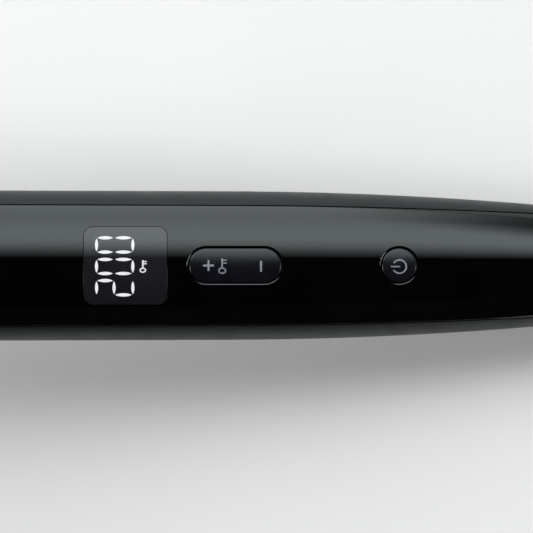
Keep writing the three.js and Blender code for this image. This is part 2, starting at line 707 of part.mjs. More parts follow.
function rockerButton() {
  const eye = 2.2;
  const leg = block([rockerX - eye, rockerX + eye], [-legHalf, legHalf], [rockerPivotZ, buttonBottom + 0.5]);
  let cap = crowned(rockerShape(0)).add(solid(leg));
  cap = cap.add(solid(bar("y", eye, [-legHalf, legHalf], [rockerX, rockerPivotZ])));
  for (const x of rockerSwitchXs) cap = cap.add(solid(block([x - 1.5, x + 1.5], [-1.5, 1.5], plungerZ)));
  return cap.subtract(solid(bar("y", axleDiameter / 2 + runningGap, [-9, 9], [rockerX, rockerPivotZ], 16)));
}

const frameFrom = rockerX - 14;
const frameTo = powerX + 7;
const postXs = [rockerX + rockerLength / 2 + 3.9, powerX - 9];
const frameHalf = Math.min(8.6, innerHalf(frameTo, frameZ + frameThickness) - gap);

function buttonFrame() {
  const top = frameZ + frameThickness;
  let frame = solid(block([frameFrom, frameTo], [-frameHalf, frameHalf], [frameZ, top]));
  for (const x of postXs) {
    frame = frame.add(solid(bar("z", 1.8, [top - 0.5, topZ(x, 1.8, wall) - gap], [x, 0], 16)));
  }
  const cheek = [legHalf + runningGap, legHalf + runningGap + cheekThickness];
  for (const span of [cheek, cheek.map((y) => -y).reverse()]) {
    const height = [top - 0.5, topZ(rockerX, 4, wall) - 1];
    frame = frame.add(solid(block([rockerX - 2, rockerX + 2], span, height)));
  }
  frame = frame.subtract(solid(bar("y", axleDiameter / 2 + threadGap, [-9, 9], [rockerX, rockerPivotZ], 16)));
  frame = frame.subtract(solid(block([rockerX - 3, rockerX + 3], [-2, 2], [frameZ - 1, top + 1])));
  const hole = switchSize / 2 + gap;
  for (const x of [...rockerSwitchXs, powerX]) {
    frame = frame.subtract(solid(block([x - hole, x + hole], [-hole, hole], [frameZ - 1, top + 1])));
  }
  for (const x of postXs) frame = frame.subtract(solid(bar("z", 0.95, [frameZ - 1, top + 1.5], [x, 0], 12)));
  return frame;
}

function powerButton() {
  const stem = solid(bar("z", 1.8, plungerZ, [powerX, 0], 16));
  return crowned(powerShape(0)).add(stem);
}

// A tactile switch: a square body with a round plunger.
function tactSwitch(name, x) {
  const seat = controlBoardZ + boardThickness + gap;
  const half = switchSize / 2;
  const body = solid(block([x - half, x + half], [-half, half], [seat, seat + switchHeight]));
  const plunger = solid(bar("z", 1.7, [seat + switchHeight - 0.2, switchTop], [x, 0], 16));
  add(name, geometryOf(body.add(plunger)), "chip");
}

add("display_window", geometryOf(displayWindow()), "smokedWindow");
add("rocker_button", geometryOf(rockerButton()), "softButton");
add("power_button", geometryOf(powerButton()), "softButton");
add("button_frame", geometryOf(buttonFrame()), "heatPlastic");
const axleHalf = legHalf + runningGap + cheekThickness;
add("rocker_axle", bar("y", axleDiameter / 2, [-axleHalf, axleHalf], [rockerX, rockerPivotZ], 16), "steel");
tactSwitch("switch_plus", rockerSwitchXs[0]);
tactSwitch("switch_minus", rockerSwitchXs[1]);
tactSwitch("switch_power", powerX);

const moduleHalf = windowWidth / 2 - windowLedge - gap;
const moduleAlong = [displayX - windowLength / 2 + windowLedge + gap, displayX + windowLength / 2 - windowLedge - gap];
const moduleUp = [controlBoardZ + boardThickness + gap, topZ(displayX, moduleHalf, windowThickness) - 0.6];
add("display_module", block(moduleAlong, [-moduleHalf, moduleHalf], moduleUp), "ledBody");

// ---------------------------------------------------------------- boards

function circuitBoard([from, to], z, holes, radius) {
  const room = 2 * innerHalf(to, z < 0 ? z : z + boardThickness) - 2 * gap;
  const outline = roundedRectangle((from + to) / 2, to - from, Math.min(boardWidth, room), 1);
  for (const x of holes) outline.holes.push(disc(x, radius));
  return upright(outline, [z, z + boardThickness], 6);
}

const controlSpan = [controlBoardFrom, controlBoardTo];
add("control_board", circuitBoard(controlSpan, controlBoardZ, postXs, 1.2), "board");
add("power_board", circuitBoard([powerBoardFrom, powerBoardTo], powerBoardZ, powerScrewXs, 1.2), "board");
for (const [name, x] of [["power_board_screw_front", powerScrewXs[0]], ["power_board_screw_rear", powerScrewXs[1]]]) {
  const top = powerBoardZ + boardThickness + gap;
  const head = solid(bar("z", 1.9, [top, top + 1.2], [x, 0], 16));
  add(name, geometryOf(head.add(solid(bar("z", 0.8, [top - 4.4, top + 0.2], [x, 0], 12)))), "steel");
}
for (const [name, x] of [["control_screw_front", postXs[0]], ["control_screw_rear", postXs[1]]]) {
  const top = controlBoardZ - gap;
  const head = solid(bar("z", 1.9, [top - 1.2, top], [x, 0], 16));
  add(name, geometryOf(head.add(solid(bar("z", 0.75, [top - 0.2, frameZ + 1.6], [x, 0], 12)))), "steel");
}
const chipTop = controlBoardZ - gap;
add("control_chip", block([84, 93], [-4.5, 4.5], [chipTop - 1.2, chipTop]), "chip");
const powerTop = powerBoardZ + boardThickness + gap;
add("triac", block([74, 84], [-2.3, 2.3], [powerTop, powerTop + 6]), "chip");
add("film_capacitor", block([92, 106], [-3.5, 3.5], [powerTop, powerTop + 6.4]), "filmBlue");

// Sleeved leads from the heater and the sensor to the boards, and from the swivel's brushes to the power board.
const leadZ = powerBoardZ + boardThickness / 2;
const intoBoard = powerBoardFrom - gap;
for (const [name, y] of [["heater_lead_left", -5.6], ["heater_lead_right", 5.6]]) {
  const start = spreaderTo + 4.6;
  const route = [[start, y * 0.5, 0], [start + 14, y, 0], [-20, y, 0], [10, y, 0], [34, y, -2]];
  add(name, wire([...route, [48, y, leadZ], [intoBoard, y, leadZ]], 0.9, 12, 6), "silicone");
}
const sensorLead = [[sensorX + 1.7, 0, 8.2], [-30, 0, 6.6], [0, 0, 6], [14, -6, 5.4], [34, -7, 5.2]];
add("sensor_lead", wire([...sensorLead, [controlBoardFrom - gap, -7, controlBoardZ + 0.8]], 0.6, 12, 6), "silicone");

// ---------------------------------------------------------------- cord swivel

const swivelTo = shellEnd - spigotLength - gap;
const swivelFrom = swivelTo - swivelLength;
const brushXs = [swivelFrom + 4.4, swivelFrom + 9.4];

function swivelHousing() {
  const inside = swivelRadius - swivelWall;
  const neck = glandNeck + runningGap;
  const cup = solid(turned([
    [swivelFrom, glandBore], [swivelFrom, swivelRadius], [swivelTo, swivelRadius], [swivelTo, neck],
    [swivelTo - 1.5, neck], [swivelTo - 1.5, inside], [swivelFrom + 1.5, inside], [swivelFrom + 1.5, glandBore],
    [swivelFrom, glandBore],
  ]));
  const slots = brushXs.map((x) => solid(block([x - 1.6, x + 1.6], [-1.6, 1.6], [inside - 1, 12])));
  return slots.reduce((made, slot) => made.subtract(slot), cup);
}

function swivelGland() {
  const start = swivelFrom + 1.5 + runningGap;
  const core = contactRadius - 1 - gap;
  const flange = swivelTo - 1.5 - runningGap;
  const outside = handleLength + runningGap;
  const end = handleLength + glandReach;
  const retainer = swivelRadius - swivelWall - runningGap;
  return turned([
    [start, glandBore - 0.6], [start, core], [flange - 2, core], [flange - 2, retainer], [flange, retainer],
    [flange, glandNeck], [outside, glandNeck], [outside, glandFlange - 0.6], [outside + 0.6, glandFlange],
    [outside + 2, glandFlange], [outside + 3, glandNeck + 0.6], [end - 0.8, glandNeck], [end, glandNeck - 0.8],
    [end, glandBore], [swivelTo, glandBore], [swivelTo - 4, glandBore - 0.6], [start, glandBore - 0.6],
  ]);
}

function contactRing(x) {
  return turned([
    [x - 1.2, contactRadius - 1], [x - 1.2, contactRadius], [x + 1.2, contactRadius], [x + 1.2, contactRadius - 1],
    [x - 1.2, contactRadius - 1],
  ], 20);
}

add("swivel_housing", geometryOf(swivelHousing()), "heatPlastic");
add("swivel_gland", swivelGland(), "heatPlastic");
for (const [i, x] of brushXs.entries()) {
  const name = ["front", "rear"][i];
  add("contact_ring_" + name, contactRing(x), "brass");
  const brushUp = [contactRadius + gap, topZ(x, 2, wall) - 0.8];
  add("brush_" + name, block([x - 1.2, x + 1.2], [-1.2, 1.2], brushUp), "brass");
}

for (const [name, y] of [["supply_lead_left", -5.6], ["supply_lead_right", 5.6]]) {
  const route = [[swivelFrom - gap, y, 3.5], [swivelFrom - 7, y, 2.5], [powerBoardTo + 8, y, leadZ + 1]];
  add(name, wire([...route, [powerBoardTo + gap, y, leadZ]], 0.9, 8, 6), "silicone");
}

// ---------------------------------------------------------------- the iron at rest on its stand

// The tail drops until handle and foot meet the table, and the middle of the iron's box stands on the origin.
iron.rotation.y = lean;
iron.updateMatrixWorld(true);
const box = new THREE.Box3().setFromObject(iron, true);
const middle = box.getCenter(new THREE.Vector3());
iron.position.set(-middle.x, -middle.y, -box.min.z);

const curlingIron = new THREE.Group();
curlingIron.add(iron);

export default curlingIron;
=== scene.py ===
import json
from math import acos, atan, cos, hypot, pi, radians, sin, sqrt, tau

import bpy
from mathutils import Matrix, Vector


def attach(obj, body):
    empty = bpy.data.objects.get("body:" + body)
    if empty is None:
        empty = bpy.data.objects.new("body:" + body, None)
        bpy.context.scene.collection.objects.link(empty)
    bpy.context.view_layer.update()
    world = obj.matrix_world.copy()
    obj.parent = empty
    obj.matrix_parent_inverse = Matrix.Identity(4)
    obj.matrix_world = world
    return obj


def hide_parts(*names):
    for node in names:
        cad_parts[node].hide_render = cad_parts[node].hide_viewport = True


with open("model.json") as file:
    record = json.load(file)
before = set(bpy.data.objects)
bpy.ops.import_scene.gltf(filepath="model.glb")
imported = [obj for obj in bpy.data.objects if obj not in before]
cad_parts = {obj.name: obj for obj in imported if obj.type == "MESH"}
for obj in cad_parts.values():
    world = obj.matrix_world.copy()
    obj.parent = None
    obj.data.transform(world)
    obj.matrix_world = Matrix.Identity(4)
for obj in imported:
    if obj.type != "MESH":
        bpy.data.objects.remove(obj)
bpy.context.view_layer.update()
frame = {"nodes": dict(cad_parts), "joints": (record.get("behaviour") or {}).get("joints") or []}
bpy.ops.object.select_all(action="DESELECT")

# ------------------------------------------------------------------ upper cover
# The cover is a high-gloss black ABS moulding with openings for the window and the buttons, screwed down onto
# the lower shell. The iron is drawn straight, in millimetres from the handle's front face, and laid down on
# its stand by settle().
swivel_joint = next(joint for joint in frame["joints"] if joint["name"] == "cord_swivel")
iron_axis = Vector(swivel_joint["axis"])
lean = atan(-iron_axis.z / iron_axis.x)
IRON_LENGTH = 207.0
MM = 0.001
handle_front = Vector(swivel_joint["pos_m"]) - iron_axis * IRON_LENGTH * MM
lay = Matrix.Translation(handle_front) @ Matrix.Rotation(lean, 4, "Y")
on_stand = lay @ Matrix.Scale(MM, 4)

HANDLE_LENGTH, TAPER_START, SHELL_END = 196.0, 89.0, 187.5
HALF_WIDTH, HALF_DEPTH = 18.3, 14.6
SIDE_DRAW, WIDTH_LOSS, DEPTH_LOSS = 0.0034, 6.2336, 4.0
RAIL_WIDTH, RAIL_TAPER = 3.56, 2.6
SEAM_HALF, COVER_EASE = 0.175, 0.1
COVER_START, COVER_CORNER, COVER_THICKNESS = 6.0, 3.0, 2.3
WINDOW_X, WINDOW_LENGTH, WINDOW_WIDTH, WINDOW_CORNER = 64.0, 20.0, 18.6, 2.2
ROCKER_X, ROCKER_LENGTH, ROCKER_WIDTH = 90.4, 22.2, 8.3
POWER_X, POWER_RADIUS = 129.8, 4.15
WINDOW_GAP, BUTTON_GAP = 0.1, 0.25
# The lip round a button's opening, as steps of (outwards, height) from under the cover to over it.
LIP = ((0.0, -4.0), (0.0, -0.22), (0.02, -0.207), (0.17, -0.11), (0.36, 0.0), (0.36, 1.0))
STRIP_LENGTH, STRIP_WIDTH = 3.0, 0.8  # a plate is cut into strips of this size before it is bent


def taper(x):
    return (max(0.0, x - TAPER_START) / (HANDLE_LENGTH - TAPER_START)) ** 2


def half_width(x):
    return HALF_WIDTH - SIDE_DRAW * x - WIDTH_LOSS * taper(x)


def half_depth(x):
    return HALF_DEPTH - DEPTH_LOSS * taper(x)


def seam_y(x):
    return half_width(x) - RAIL_WIDTH + RAIL_TAPER * taper(x)


def top_z(x, y):
    """Height of the handle's upper surface over the barrel's axis."""
    return half_depth(x) * sqrt(max(0.0, 1 - (y / half_width(x)) ** 2))


def settle(piece, body, slot, material, *nodes):
    """Lays a piece of the straight iron down in its place, and ties it to the frame."""
    piece.data.transform(on_stand)
    if nodes:
        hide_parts(*nodes)
    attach(piece, body)
    piece.data.materials.append(material)


def edit(piece):
    bpy.ops.object.select_all(action="DESELECT")
    bpy.context.view_layer.objects.active = piece
    piece.select_set(True)
    bpy.ops.object.mode_set(mode="EDIT")
    bpy.ops.mesh.select_all(action="SELECT")


def leave_edit(piece, angle=32):
    bpy.ops.object.mode_set(mode="OBJECT")
    bpy.ops.object.shade_smooth_by_angle(angle=radians(angle))
    piece.select_set(False)


def slab(name, outlines, low, high, edge=0.0, rounds=2):
    """A flat plate from `low` to `high`, cut to its outlines, with rounded edges."""
    curve = bpy.data.curves.new(name, "CURVE")
    curve.dimensions = "2D"
    curve.fill_mode = "BOTH"
    for outline in outlines:
        spline = curve.splines.new("POLY")
        spline.points.add(len(outline) - 1)
        for point, (x, y) in zip(spline.points, outline):
            point.co = (x, y, 0, 1)
        spline.use_cyclic_u = True
    curve.extrude = (high - low) / 2 - edge
    curve.bevel_depth = edge
    curve.bevel_resolution = rounds
    curve.offset = -edge
    piece = bpy.data.objects.new(name, curve)
    bpy.context.scene.collection.objects.link(piece)
    bpy.context.view_layer.objects.active = piece
    piece.select_set(True)
    bpy.ops.object.convert(target="MESH")
    edit(piece)
    bpy.ops.transform.translate(value=(0, 0, (low + high) / 2))
    bpy.ops.mesh.remove_doubles(threshold=1e-3)
    bpy.ops.mesh.normals_make_consistent(inside=False)
    leave_edit(piece)
    return piece


def funnel(name, rings):
    """A closed solid through outlines of equally many points, each at its own height."""
    count = len(rings[0][0])
    points = [(x, y, z) for outline, z in rings for x, y in outline]
    faces = [tuple(reversed(range(count))), tuple(range(len(points) - count, len(points)))]
    for start in range(0, len(points) - count, count):
        for i in range(count):
            after = (i + 1) % count
            faces.append((start + i, start + after, start + count + after, start + count + i))
    mesh = bpy.data.meshes.new(name)
    mesh.from_pydata(points, [], faces)
    solid = bpy.data.objects.new(name, mesh)
    bpy.context.scene.collection.objects.link(solid)
    edit(solid)
    bpy.ops.mesh.normals_make_consistent(inside=False)
    leave_edit(solid)
    return solid


def slice_up(piece, axis, places):
    """Cuts a plate into strips at the given places along an axis, so that it can follow a curved form."""
    edit(piece)
    normal = Vector((axis == "x", axis == "y", axis == "z"))
    for place in places:
        bpy.ops.mesh.select_all(action="SELECT")
        bpy.ops.mesh.bisect(plane_co=normal * place, plane_no=normal)
    leave_edit(piece)


def combine(piece, operation, *tools):
    """Joins other solids to a piece, or cuts it with them; the others are used up."""
    for tool in tools:
        modifier = piece.modifiers.new("solid", "BOOLEAN")
        modifier.operation = operation
        modifier.solver = "EXACT"
        modifier.object = tool
        bpy.context.view_layer.objects.active = piece
        bpy.ops.object.modifier_apply(modifier=modifier.name)
        bpy.data.objects.remove(tool)
    return piece


def cut(piece, *tools):
    return combine(piece, "DIFFERENCE", *tools)


def join(piece, *others):
    return combine(piece, "UNION", *others)


def between(start, end, step):
    count = max(1, round((end - start) / step))
    return [start + (end - start) * i / count for i in range(count + 1)]


def drape(piece, body, slot, material, *nodes, lift=0.0, crown=0.0):
    """Wraps a plate onto the handle's upper surface, with the surface's own normals, and settles it. A crown
    makes a button's plate fall off a little more than the handle towards its long edges."""
    mesh = piece.data
    flat = [vertex.normal.copy() for vertex in mesh.vertices]
    high = max(vertex.co.z for vertex in mesh.vertices)
    low = min(vertex.co.z for vertex in mesh.vertices)
    turn = on_stand.to_3x3().normalized()
    reach = 0.1
    normals = []
    for vertex, normal in zip(mesh.vertices, flat):
        x, y, z = vertex.co
        if high - z < 1e-3:
            normal = Vector((0, 0, 1))
        elif z - low < 1e-3:
            normal = Vector((0, 0, -1))
        slope_x = (top_z(x + reach, y) - top_z(x - reach, y)) / (2 * reach)
        slope_y = (top_z(x, y + reach) - top_z(x, y - reach)) / (2 * reach)
        slope_y -= 8 * crown * y / ROCKER_WIDTH ** 2
        bent = Vector((normal.x - normal.z * slope_x, normal.y - normal.z * slope_y, normal.z))
        normals.append((turn @ bent).normalized())
        vertex.co.z = z + lift + top_z(x, y) - crown * (2 * y / ROCKER_WIDTH) ** 2
    mesh.shade_smooth()
    settle(piece, body, slot, material, *nodes)
    mesh.normals_split_custom_set_from_vertices(normals)


def arc(centre_x, centre_y, radius, start, end, steps):
    """Points on an arc, its angles in degrees."""
    turns = [radians(start + (end - start) * i / steps) for i in range(steps + 1)]
    return [(centre_x + radius * cos(turn), centre_y + radius * sin(turn)) for turn in turns]


def rounded_rectangle(x, length, width, corner, steps=10):
    left, right = x - length / 2 + corner, x + length / 2 - corner
    high, low = width / 2 - corner, corner - width / 2
    return (
        arc(right, low, corner, -90, 0, steps) + arc(right, high, corner, 0, 90, steps)
        + arc(left, high, corner, 90, 180, steps) + arc(left, low, corner, 180, 270, steps)
    )


def stadium(x, length, width, steps=24):
    return arc(x + (length - width) / 2, 0, width / 2, -90, 90, steps) + arc(
        x - (length - width) / 2, 0, width / 2, 90, 270, steps)


def rocker_outline(grow=0.0):
    return stadium(ROCKER_X, ROCKER_LENGTH + 2 * grow, ROCKER_WIDTH + 2 * grow)


def power_outline(grow=0.0):
    return arc(POWER_X, 0, POWER_RADIUS + grow, 0, 360, 72)[:-1]


def window_outline(grow=0.0):
    return rounded_rectangle(
        WINDOW_X, WINDOW_LENGTH + 2 * grow, WINDOW_WIDTH + 2 * grow, WINDOW_CORNER + grow)


def cover_outline(grow):
    start, corner = COVER_START - grow, COVER_CORNER + grow
    places = between(start + corner, SHELL_END, STRIP_LENGTH)
    side = [(x, seam_y(x) + grow) for x in places]
    first = side[0][1]
    front = arc(start + corner, first - corner, corner, 90, 180, 8)
    upper = [(x, y) for x, y in reversed(side)] + front[1:]
    return upper + [(x, -y) for x, y in reversed(upper)]


def linear(colour):
    """An sRGB hex colour as linear RGBA."""
    levels = [int(colour[i:i + 2], 16) / 255 for i in (1, 3, 5)]
    return [v / 12.92 if v <= 0.04045 else ((v + 0.055) / 1.055) ** 2.4 for v in levels] + [1.0]


def node(material, kind, inputs=None, **settings):
    """Adds a shader node, with its settings, and its inputs as values or as links."""
    made = material.node_tree.nodes.new("ShaderNode" + kind)
    for name, value in settings.items():
        setattr(made, name, value)
    for name, value in (inputs or {}).items():
        if isinstance(value, bpy.types.NodeSocket):
            material.node_tree.links.new(value, made.inputs[name])
        else:
            made.inputs[name].default_value = value
    return made


def start_material(name, **sockets):
    """A material with its values set on the shader's own sockets; returns it and its shader."""
    material = bpy.data.materials.new(name)
    material.use_nodes = True
    shader = material.node_tree.nodes["Principled BSDF"]
    for socket, value in sockets.items():
        shader.inputs[socket.replace("_", " ")].default_value = value
    return material, shader


def surface(name, dark, light, patch, rough, grain, depth,
            metallic=0.0, ior=1.5, stretch=(1, 1, 1), **sockets):
    """A made surface: colour that drifts between two shades over `patch` mm, roughness that wanders between
    two values, and a grain of `grain` mm that stands `depth` mm high."""
    noise_low, noise_high = 0.3, 0.7
    material, shader = start_material(name, Metallic=metallic, IOR=ior, **sockets)
    link = material.node_tree.links.new
    place = node(material, "TexCoord").outputs["Object"]
    drawn = node(material, "Mapping", {"Vector": place, "Scale": stretch})
    drift = node(material, "TexNoise", {
        "Vector": drawn.outputs["Vector"], "Scale": 1 / (patch * MM), "Detail": 4.0})
    colour = node(material, "ValToRGB", {"Fac": drift.outputs["Fac"]})
    for stop, level, shade in zip(colour.color_ramp.elements, (noise_low, noise_high), (dark, light)):
        stop.position, stop.color = level, linear(shade)
    link(colour.outputs["Color"], shader.inputs["Base Color"])
    fine = node(material, "TexNoise", {
        "Vector": drawn.outputs["Vector"], "Scale": 1 / (grain * MM), "Detail": 3.0, "Roughness": 0.6})
    gloss = node(material, "MapRange", {
        "Value": drift.outputs["Fac"], "From Min": noise_low, "From Max": noise_high,
        "To Min": rough[0], "To Max": rough[1]})
    link(gloss.outputs["Result"], shader.inputs["Roughness"])
    bump = node(material, "Bump", {"Height": fine.outputs["Fac"], "Strength": 1.0, "Distance": depth * MM})
    link(bump.outputs["Normal"], shader.inputs["Normal"])
    return material


# High-gloss moulded ABS: black, sharp reflections, with the faint haze of handling.
gloss_black = surface("gloss black ABS", "#010101", "#030304", 9, (0.035, 0.06), 2.4, 0.0002, ior=1.53)

cover = slab("gloss_cover", [cover_outline(-COVER_EASE), window_outline(WINDOW_GAP)],
             -COVER_THICKNESS, 0.0, edge=0.04)
for outline in (rocker_outline, power_outline):
    cut(cover, funnel("opening", [(outline(BUTTON_GAP + out), height) for out, height in LIP]))
slice_up(cover, "x", between(COVER_START + 1, SHELL_END - 1, STRIP_LENGTH))
slice_up(cover, "y", between(-14.5, 14.5, STRIP_WIDTH))
drape(cover, "root", "gloss_black", gloss_black, "upper_cover")

# ------------------------------------------------------------------ lower shell
# The shell is the handle's underside, its front face and the rails beside the cover: dark grey glass-filled
# nylon with a fine spark-eroded texture, and three screw wells along its underside.
SHELL_WALL, FRONT_ROUND = 2.5, 2.5
SPIGOT_RADIUS = 11.4
HEAD_RADIUS, HEAD_WELL = 2.5, 1.4
COLLAR_SCREW_X, COVER_SCREW_XS = 8.0, (26.0, 154.0)


def turned(name, profile, steps=96, closed=False):
    """Spins a drawn profile of (x, radius) points about the barrel's axis."""
    bpy.ops.object.select_all(action="DESELECT")
    bpy.ops.mesh.primitive_plane_add(size=1)
    piece = bpy.context.object
    piece.name = piece.data.name = name
    edit(piece)
    bpy.ops.mesh.merge(type="CENTER")
    bpy.ops.transform.translate(value=(profile[0][0], 0, profile[0][1]))
    points = profile[1:] + (profile[:1] if closed else [])
    before = profile[0]
    for point in points:
        step = (point[0] - before[0], 0, point[1] - before[1])
        bpy.ops.mesh.extrude_region_move(TRANSFORM_OT_translate={"value": step})
        before = point
    bpy.ops.mesh.select_all(action="SELECT")
    bpy.ops.mesh.spin(steps=steps, angle=tau, center=(0, 0, 0), axis=(1, 0, 0))
    bpy.ops.mesh.select_all(action="SELECT")
    bpy.ops.mesh.remove_doubles(threshold=1e-3)
    bpy.ops.mesh.normals_make_consistent(inside=False)
    leave_edit(piece)
    return piece


def soften(piece, width, segments=2, angle=32):
    """Rounds the sharp edges of a piece, then smooths it."""
    modifier = piece.modifiers.new("edges", "BEVEL")
    modifier.width = width
    modifier.segments = segments
    modifier.limit_method = "ANGLE"
    modifier.angle_limit = radians(angle)
    modifier.use_clamp_overlap = True
    bpy.context.view_layer.objects.active = piece
    bpy.ops.object.modifier_apply(modifier=modifier.name)
    edit(piece)
    bpy.ops.mesh.remove_doubles(threshold=1e-4)
    leave_edit(piece, angle)
    return piece


def rod(name, radius, start, end, across=(0.0, 0.0), axis="x", steps=48, edge=0.0):
    """A round bar along one axis, between two places on it, the other two coordinates given by `across`."""
    profile = [(start, 0.0), (start, radius - edge), (start + edge, radius), (end - edge, radius),
               (end, radius - edge), (end, 0.0)]
    if edge == 0:
        profile = [(start, 0.0), (start, radius), (end, radius), (end, 0.0)]
    piece = turned(name, profile, steps)
    if axis == "y":
        piece.data.transform(Matrix.Rotation(pi / 2, 4, "Z"))
        piece.data.transform(Matrix.Translation((across[0], 0, across[1])))
    elif axis == "z":
        piece.data.transform(Matrix.Rotation(-pi / 2, 4, "Y"))
        piece.data.transform(Matrix.Translation((across[0], across[1], 0)))
    else:
        piece.data.transform(Matrix.Translation((0, across[0], across[1])))
    return piece


def flatten(piece):
    """Squeezes a round form to the handle's oval section."""
    for vertex in piece.data.vertices:
        vertex.co.z *= half_depth(vertex.co.x) / half_width(vertex.co.x)


def round_in(x, half, radius, steps, start, end):
    """A rounded corner of a profile that ends level with `half`."""
    return arc(x, half - radius, radius, start, end, steps)


def screw_seat(x):
    """Height of the seat under a case screw's head."""
    return -half_depth(x) + HEAD_WELL


rail_places = between(FRONT_ROUND, SHELL_END, STRIP_LENGTH)
outside = [(0.0, 0.0)] + round_in(FRONT_ROUND, half_width(FRONT_ROUND), FRONT_ROUND, 6, 180, 90)
outside += [(x, half_width(x)) for x in rail_places[1:]]
inside = [(x, half_width(x) - SHELL_WALL) for x in reversed(rail_places)] + [(SHELL_WALL, 0.0)]
shell = turned("satin_shell", outside + inside, 128)
flatten(shell)
cut(shell, slab("opening", [cover_outline(SEAM_HALF)], 0.0, 30.0))
cut(shell, rod("spigot_hole", SPIGOT_RADIUS + 0.3, -1.0, SHELL_WALL + 1.5, steps=96))
for x in (COLLAR_SCREW_X, *COVER_SCREW_XS):
    cut(shell, rod("well", HEAD_RADIUS + 0.3, -20.0, screw_seat(x), (x, 0.0), "z"))
soften(shell, 0.12)

# Glass-filled nylon from a textured tool: a soft sheen that is brighter where the texture is worn. The grain
# is drawn at 0.35 mm, coarser than the real texture, so that it shows.
satin_grey = surface("textured grey nylon", "#090b0b", "#0d0f0f", 6, (0.38, 0.47), 0.35, 0.006, ior=1.38,
                     Specular_Tint=(0.84, 0.97, 1.0, 1.0))
settle(shell, "root", "satin_grey", satin_grey, "lower_shell")

# The tail ring closes the handle round the cord swivel: the same nylon, pushed in on a spigot and glued.
NECK_RADIUS, HOUSING_RADIUS, RING_BACK, RING_ROUND = 6.35, 7.6, 2.0, 0.8
ring_front, ring_round = SHELL_END + 0.3, HANDLE_LENGTH - RING_ROUND
ring_profile = [(ring_front, half_width(SHELL_END) - 4.0)]
ring_profile += [(x, half_width(x)) for x in between(ring_front, ring_round, 2.0)]
ring_profile += round_in(ring_round, half_width(HANDLE_LENGTH), RING_ROUND, 5, 90, 0)[1:]
ring_profile += [(HANDLE_LENGTH, 3.0), (ring_front, 3.0)]
tail = turned("tail_cap", ring_profile, 128, closed=True)
flatten(tail)
plug_front, plug_rear, plug_bore = SHELL_END - 6.0, SHELL_END + 1.5, 6.6
plug = turned("plug", [
    (plug_front, plug_bore), (plug_front, half_width(184) - 2.8), (plug_rear, half_width(187) - 2.8),
    (plug_rear, plug_bore)], 96, closed=True)
flatten(plug)
join(tail, plug)
cut(tail, rod("hollow", HOUSING_RADIUS, 180.0, HANDLE_LENGTH - RING_BACK, steps=96),
    rod("neck", NECK_RADIUS, 180.0, HANDLE_LENGTH + 2.0, steps=96))
soften(tail, 0.1)
settle(tail, "root", "satin_grey", satin_grey, "tail_ring")

# ------------------------------------------------------------------ display window
# A smoked polycarbonate lens, set flush in the cover, with the light-emitting digits of the set temperature
# and a key symbol close under its face.
LENS_THICKNESS = 1.5
smoked = surface("smoked polycarbonate", "#1a181b", "#1f1d20", 7, (0.05, 0.075), 3.0, 0.0002, ior=1.58)
lens = slab("display_lens", [window_outline()], -LENS_THICKNESS, 0.0, edge=0.03)
slice_up(lens, "y", between(-9.0, 9.0, STRIP_WIDTH))
slice_up(lens, "x", between(55.0, 73.0, STRIP_LENGTH))
drape(lens, "root", "smoked_window", smoked, "display_window")

# Light-emitting diodes through a diffuser: white, a little uneven from place to place.
lit, lit_shader = start_material("lit digit diffuser", Roughness=0.3)
lit_place = node(lit, "TexCoord").outputs["Object"]
lit_noise = node(lit, "TexNoise", {"Vector": lit_place, "Scale": 300.0, "Detail": 2.0})
lit_colour = node(lit, "ValToRGB", {"Fac": lit_noise.outputs["Fac"]})
lit_colour.color_ramp.elements[0].color = linear("#eceef4")
lit_colour.color_ramp.elements[1].color = linear("#ffffff")
lit.node_tree.links.new(lit_colour.outputs["Color"], lit_shader.inputs["Emission Color"])
lit_shader.inputs["Base Color"].default_value = linear("#202124")
lit_shader.inputs["Emission Strength"].default_value = 0.9
lamp = lit.copy()
lamp.name = "key lamp diffuser"
lamp.node_tree.nodes["Principled BSDF"].inputs["Emission Strength"].default_value = 0.86

# Each segment is a pointed oval. The number reads from the buttons' side, so its digits stand across the
# handle.
SEGMENT_HALF, CROSS_HALF, SEGMENT_DEPTH, SEGMENT_LIFT = 0.40, 0.37, 0.05, 0.04
COLUMNS = (57.1, 61.3, 65.81)
DIGIT_ROWS = (((6.65, 3.23), "0"), ((1.46, -1.92), "0"), ((-3.62, -7.06), "2"))


def segment(start, end, half):
    """Outline of one segment between two points, `half` wide at its middle to each side."""
    along = Vector(end) - Vector(start)
    side = Vector((-along.y, along.x)).normalized()
    steps = [i / 12 for i in range(13)]
    offsets = [half * (1 - abs(2 * t - 1) ** 2.3) for t in steps]
    one = [Vector(start) + along * t + side * offset for t, offset in zip(steps, offsets)]
    other = [Vector(start) + along * t - side * offset for t, offset in zip(steps, offsets)]
    return [tuple(point) for point in one + other[-2:0:-1]]


segments = []
for (high, low), digit in DIGIT_ROWS:
    halves = [(COLUMNS[0] + 0.2, COLUMNS[1] - 0.25), (COLUMNS[1] + 0.22, COLUMNS[2] - 0.25)]
    rows = {"0": [(high, 0), (high, 1), (low, 0), (low, 1)], "2": [(high, 0), (low, 1)]}[digit]
    segments += [segment((halves[half][0], y), (halves[half][1], y), SEGMENT_HALF) for y, half in rows]
    crosses = {"0": (COLUMNS[0], COLUMNS[2]), "2": COLUMNS}[digit]
    segments += [segment((x, high - 0.15), (x, low + 0.15), CROSS_HALF) for x in crosses]
digits = slab("lit_digits", segments, -SEGMENT_DEPTH, SEGMENT_LIFT)
slice_up(digits, "y", between(-7.5, 7.5, STRIP_WIDTH))
drape(digits, "root", "lit_digits", lit)


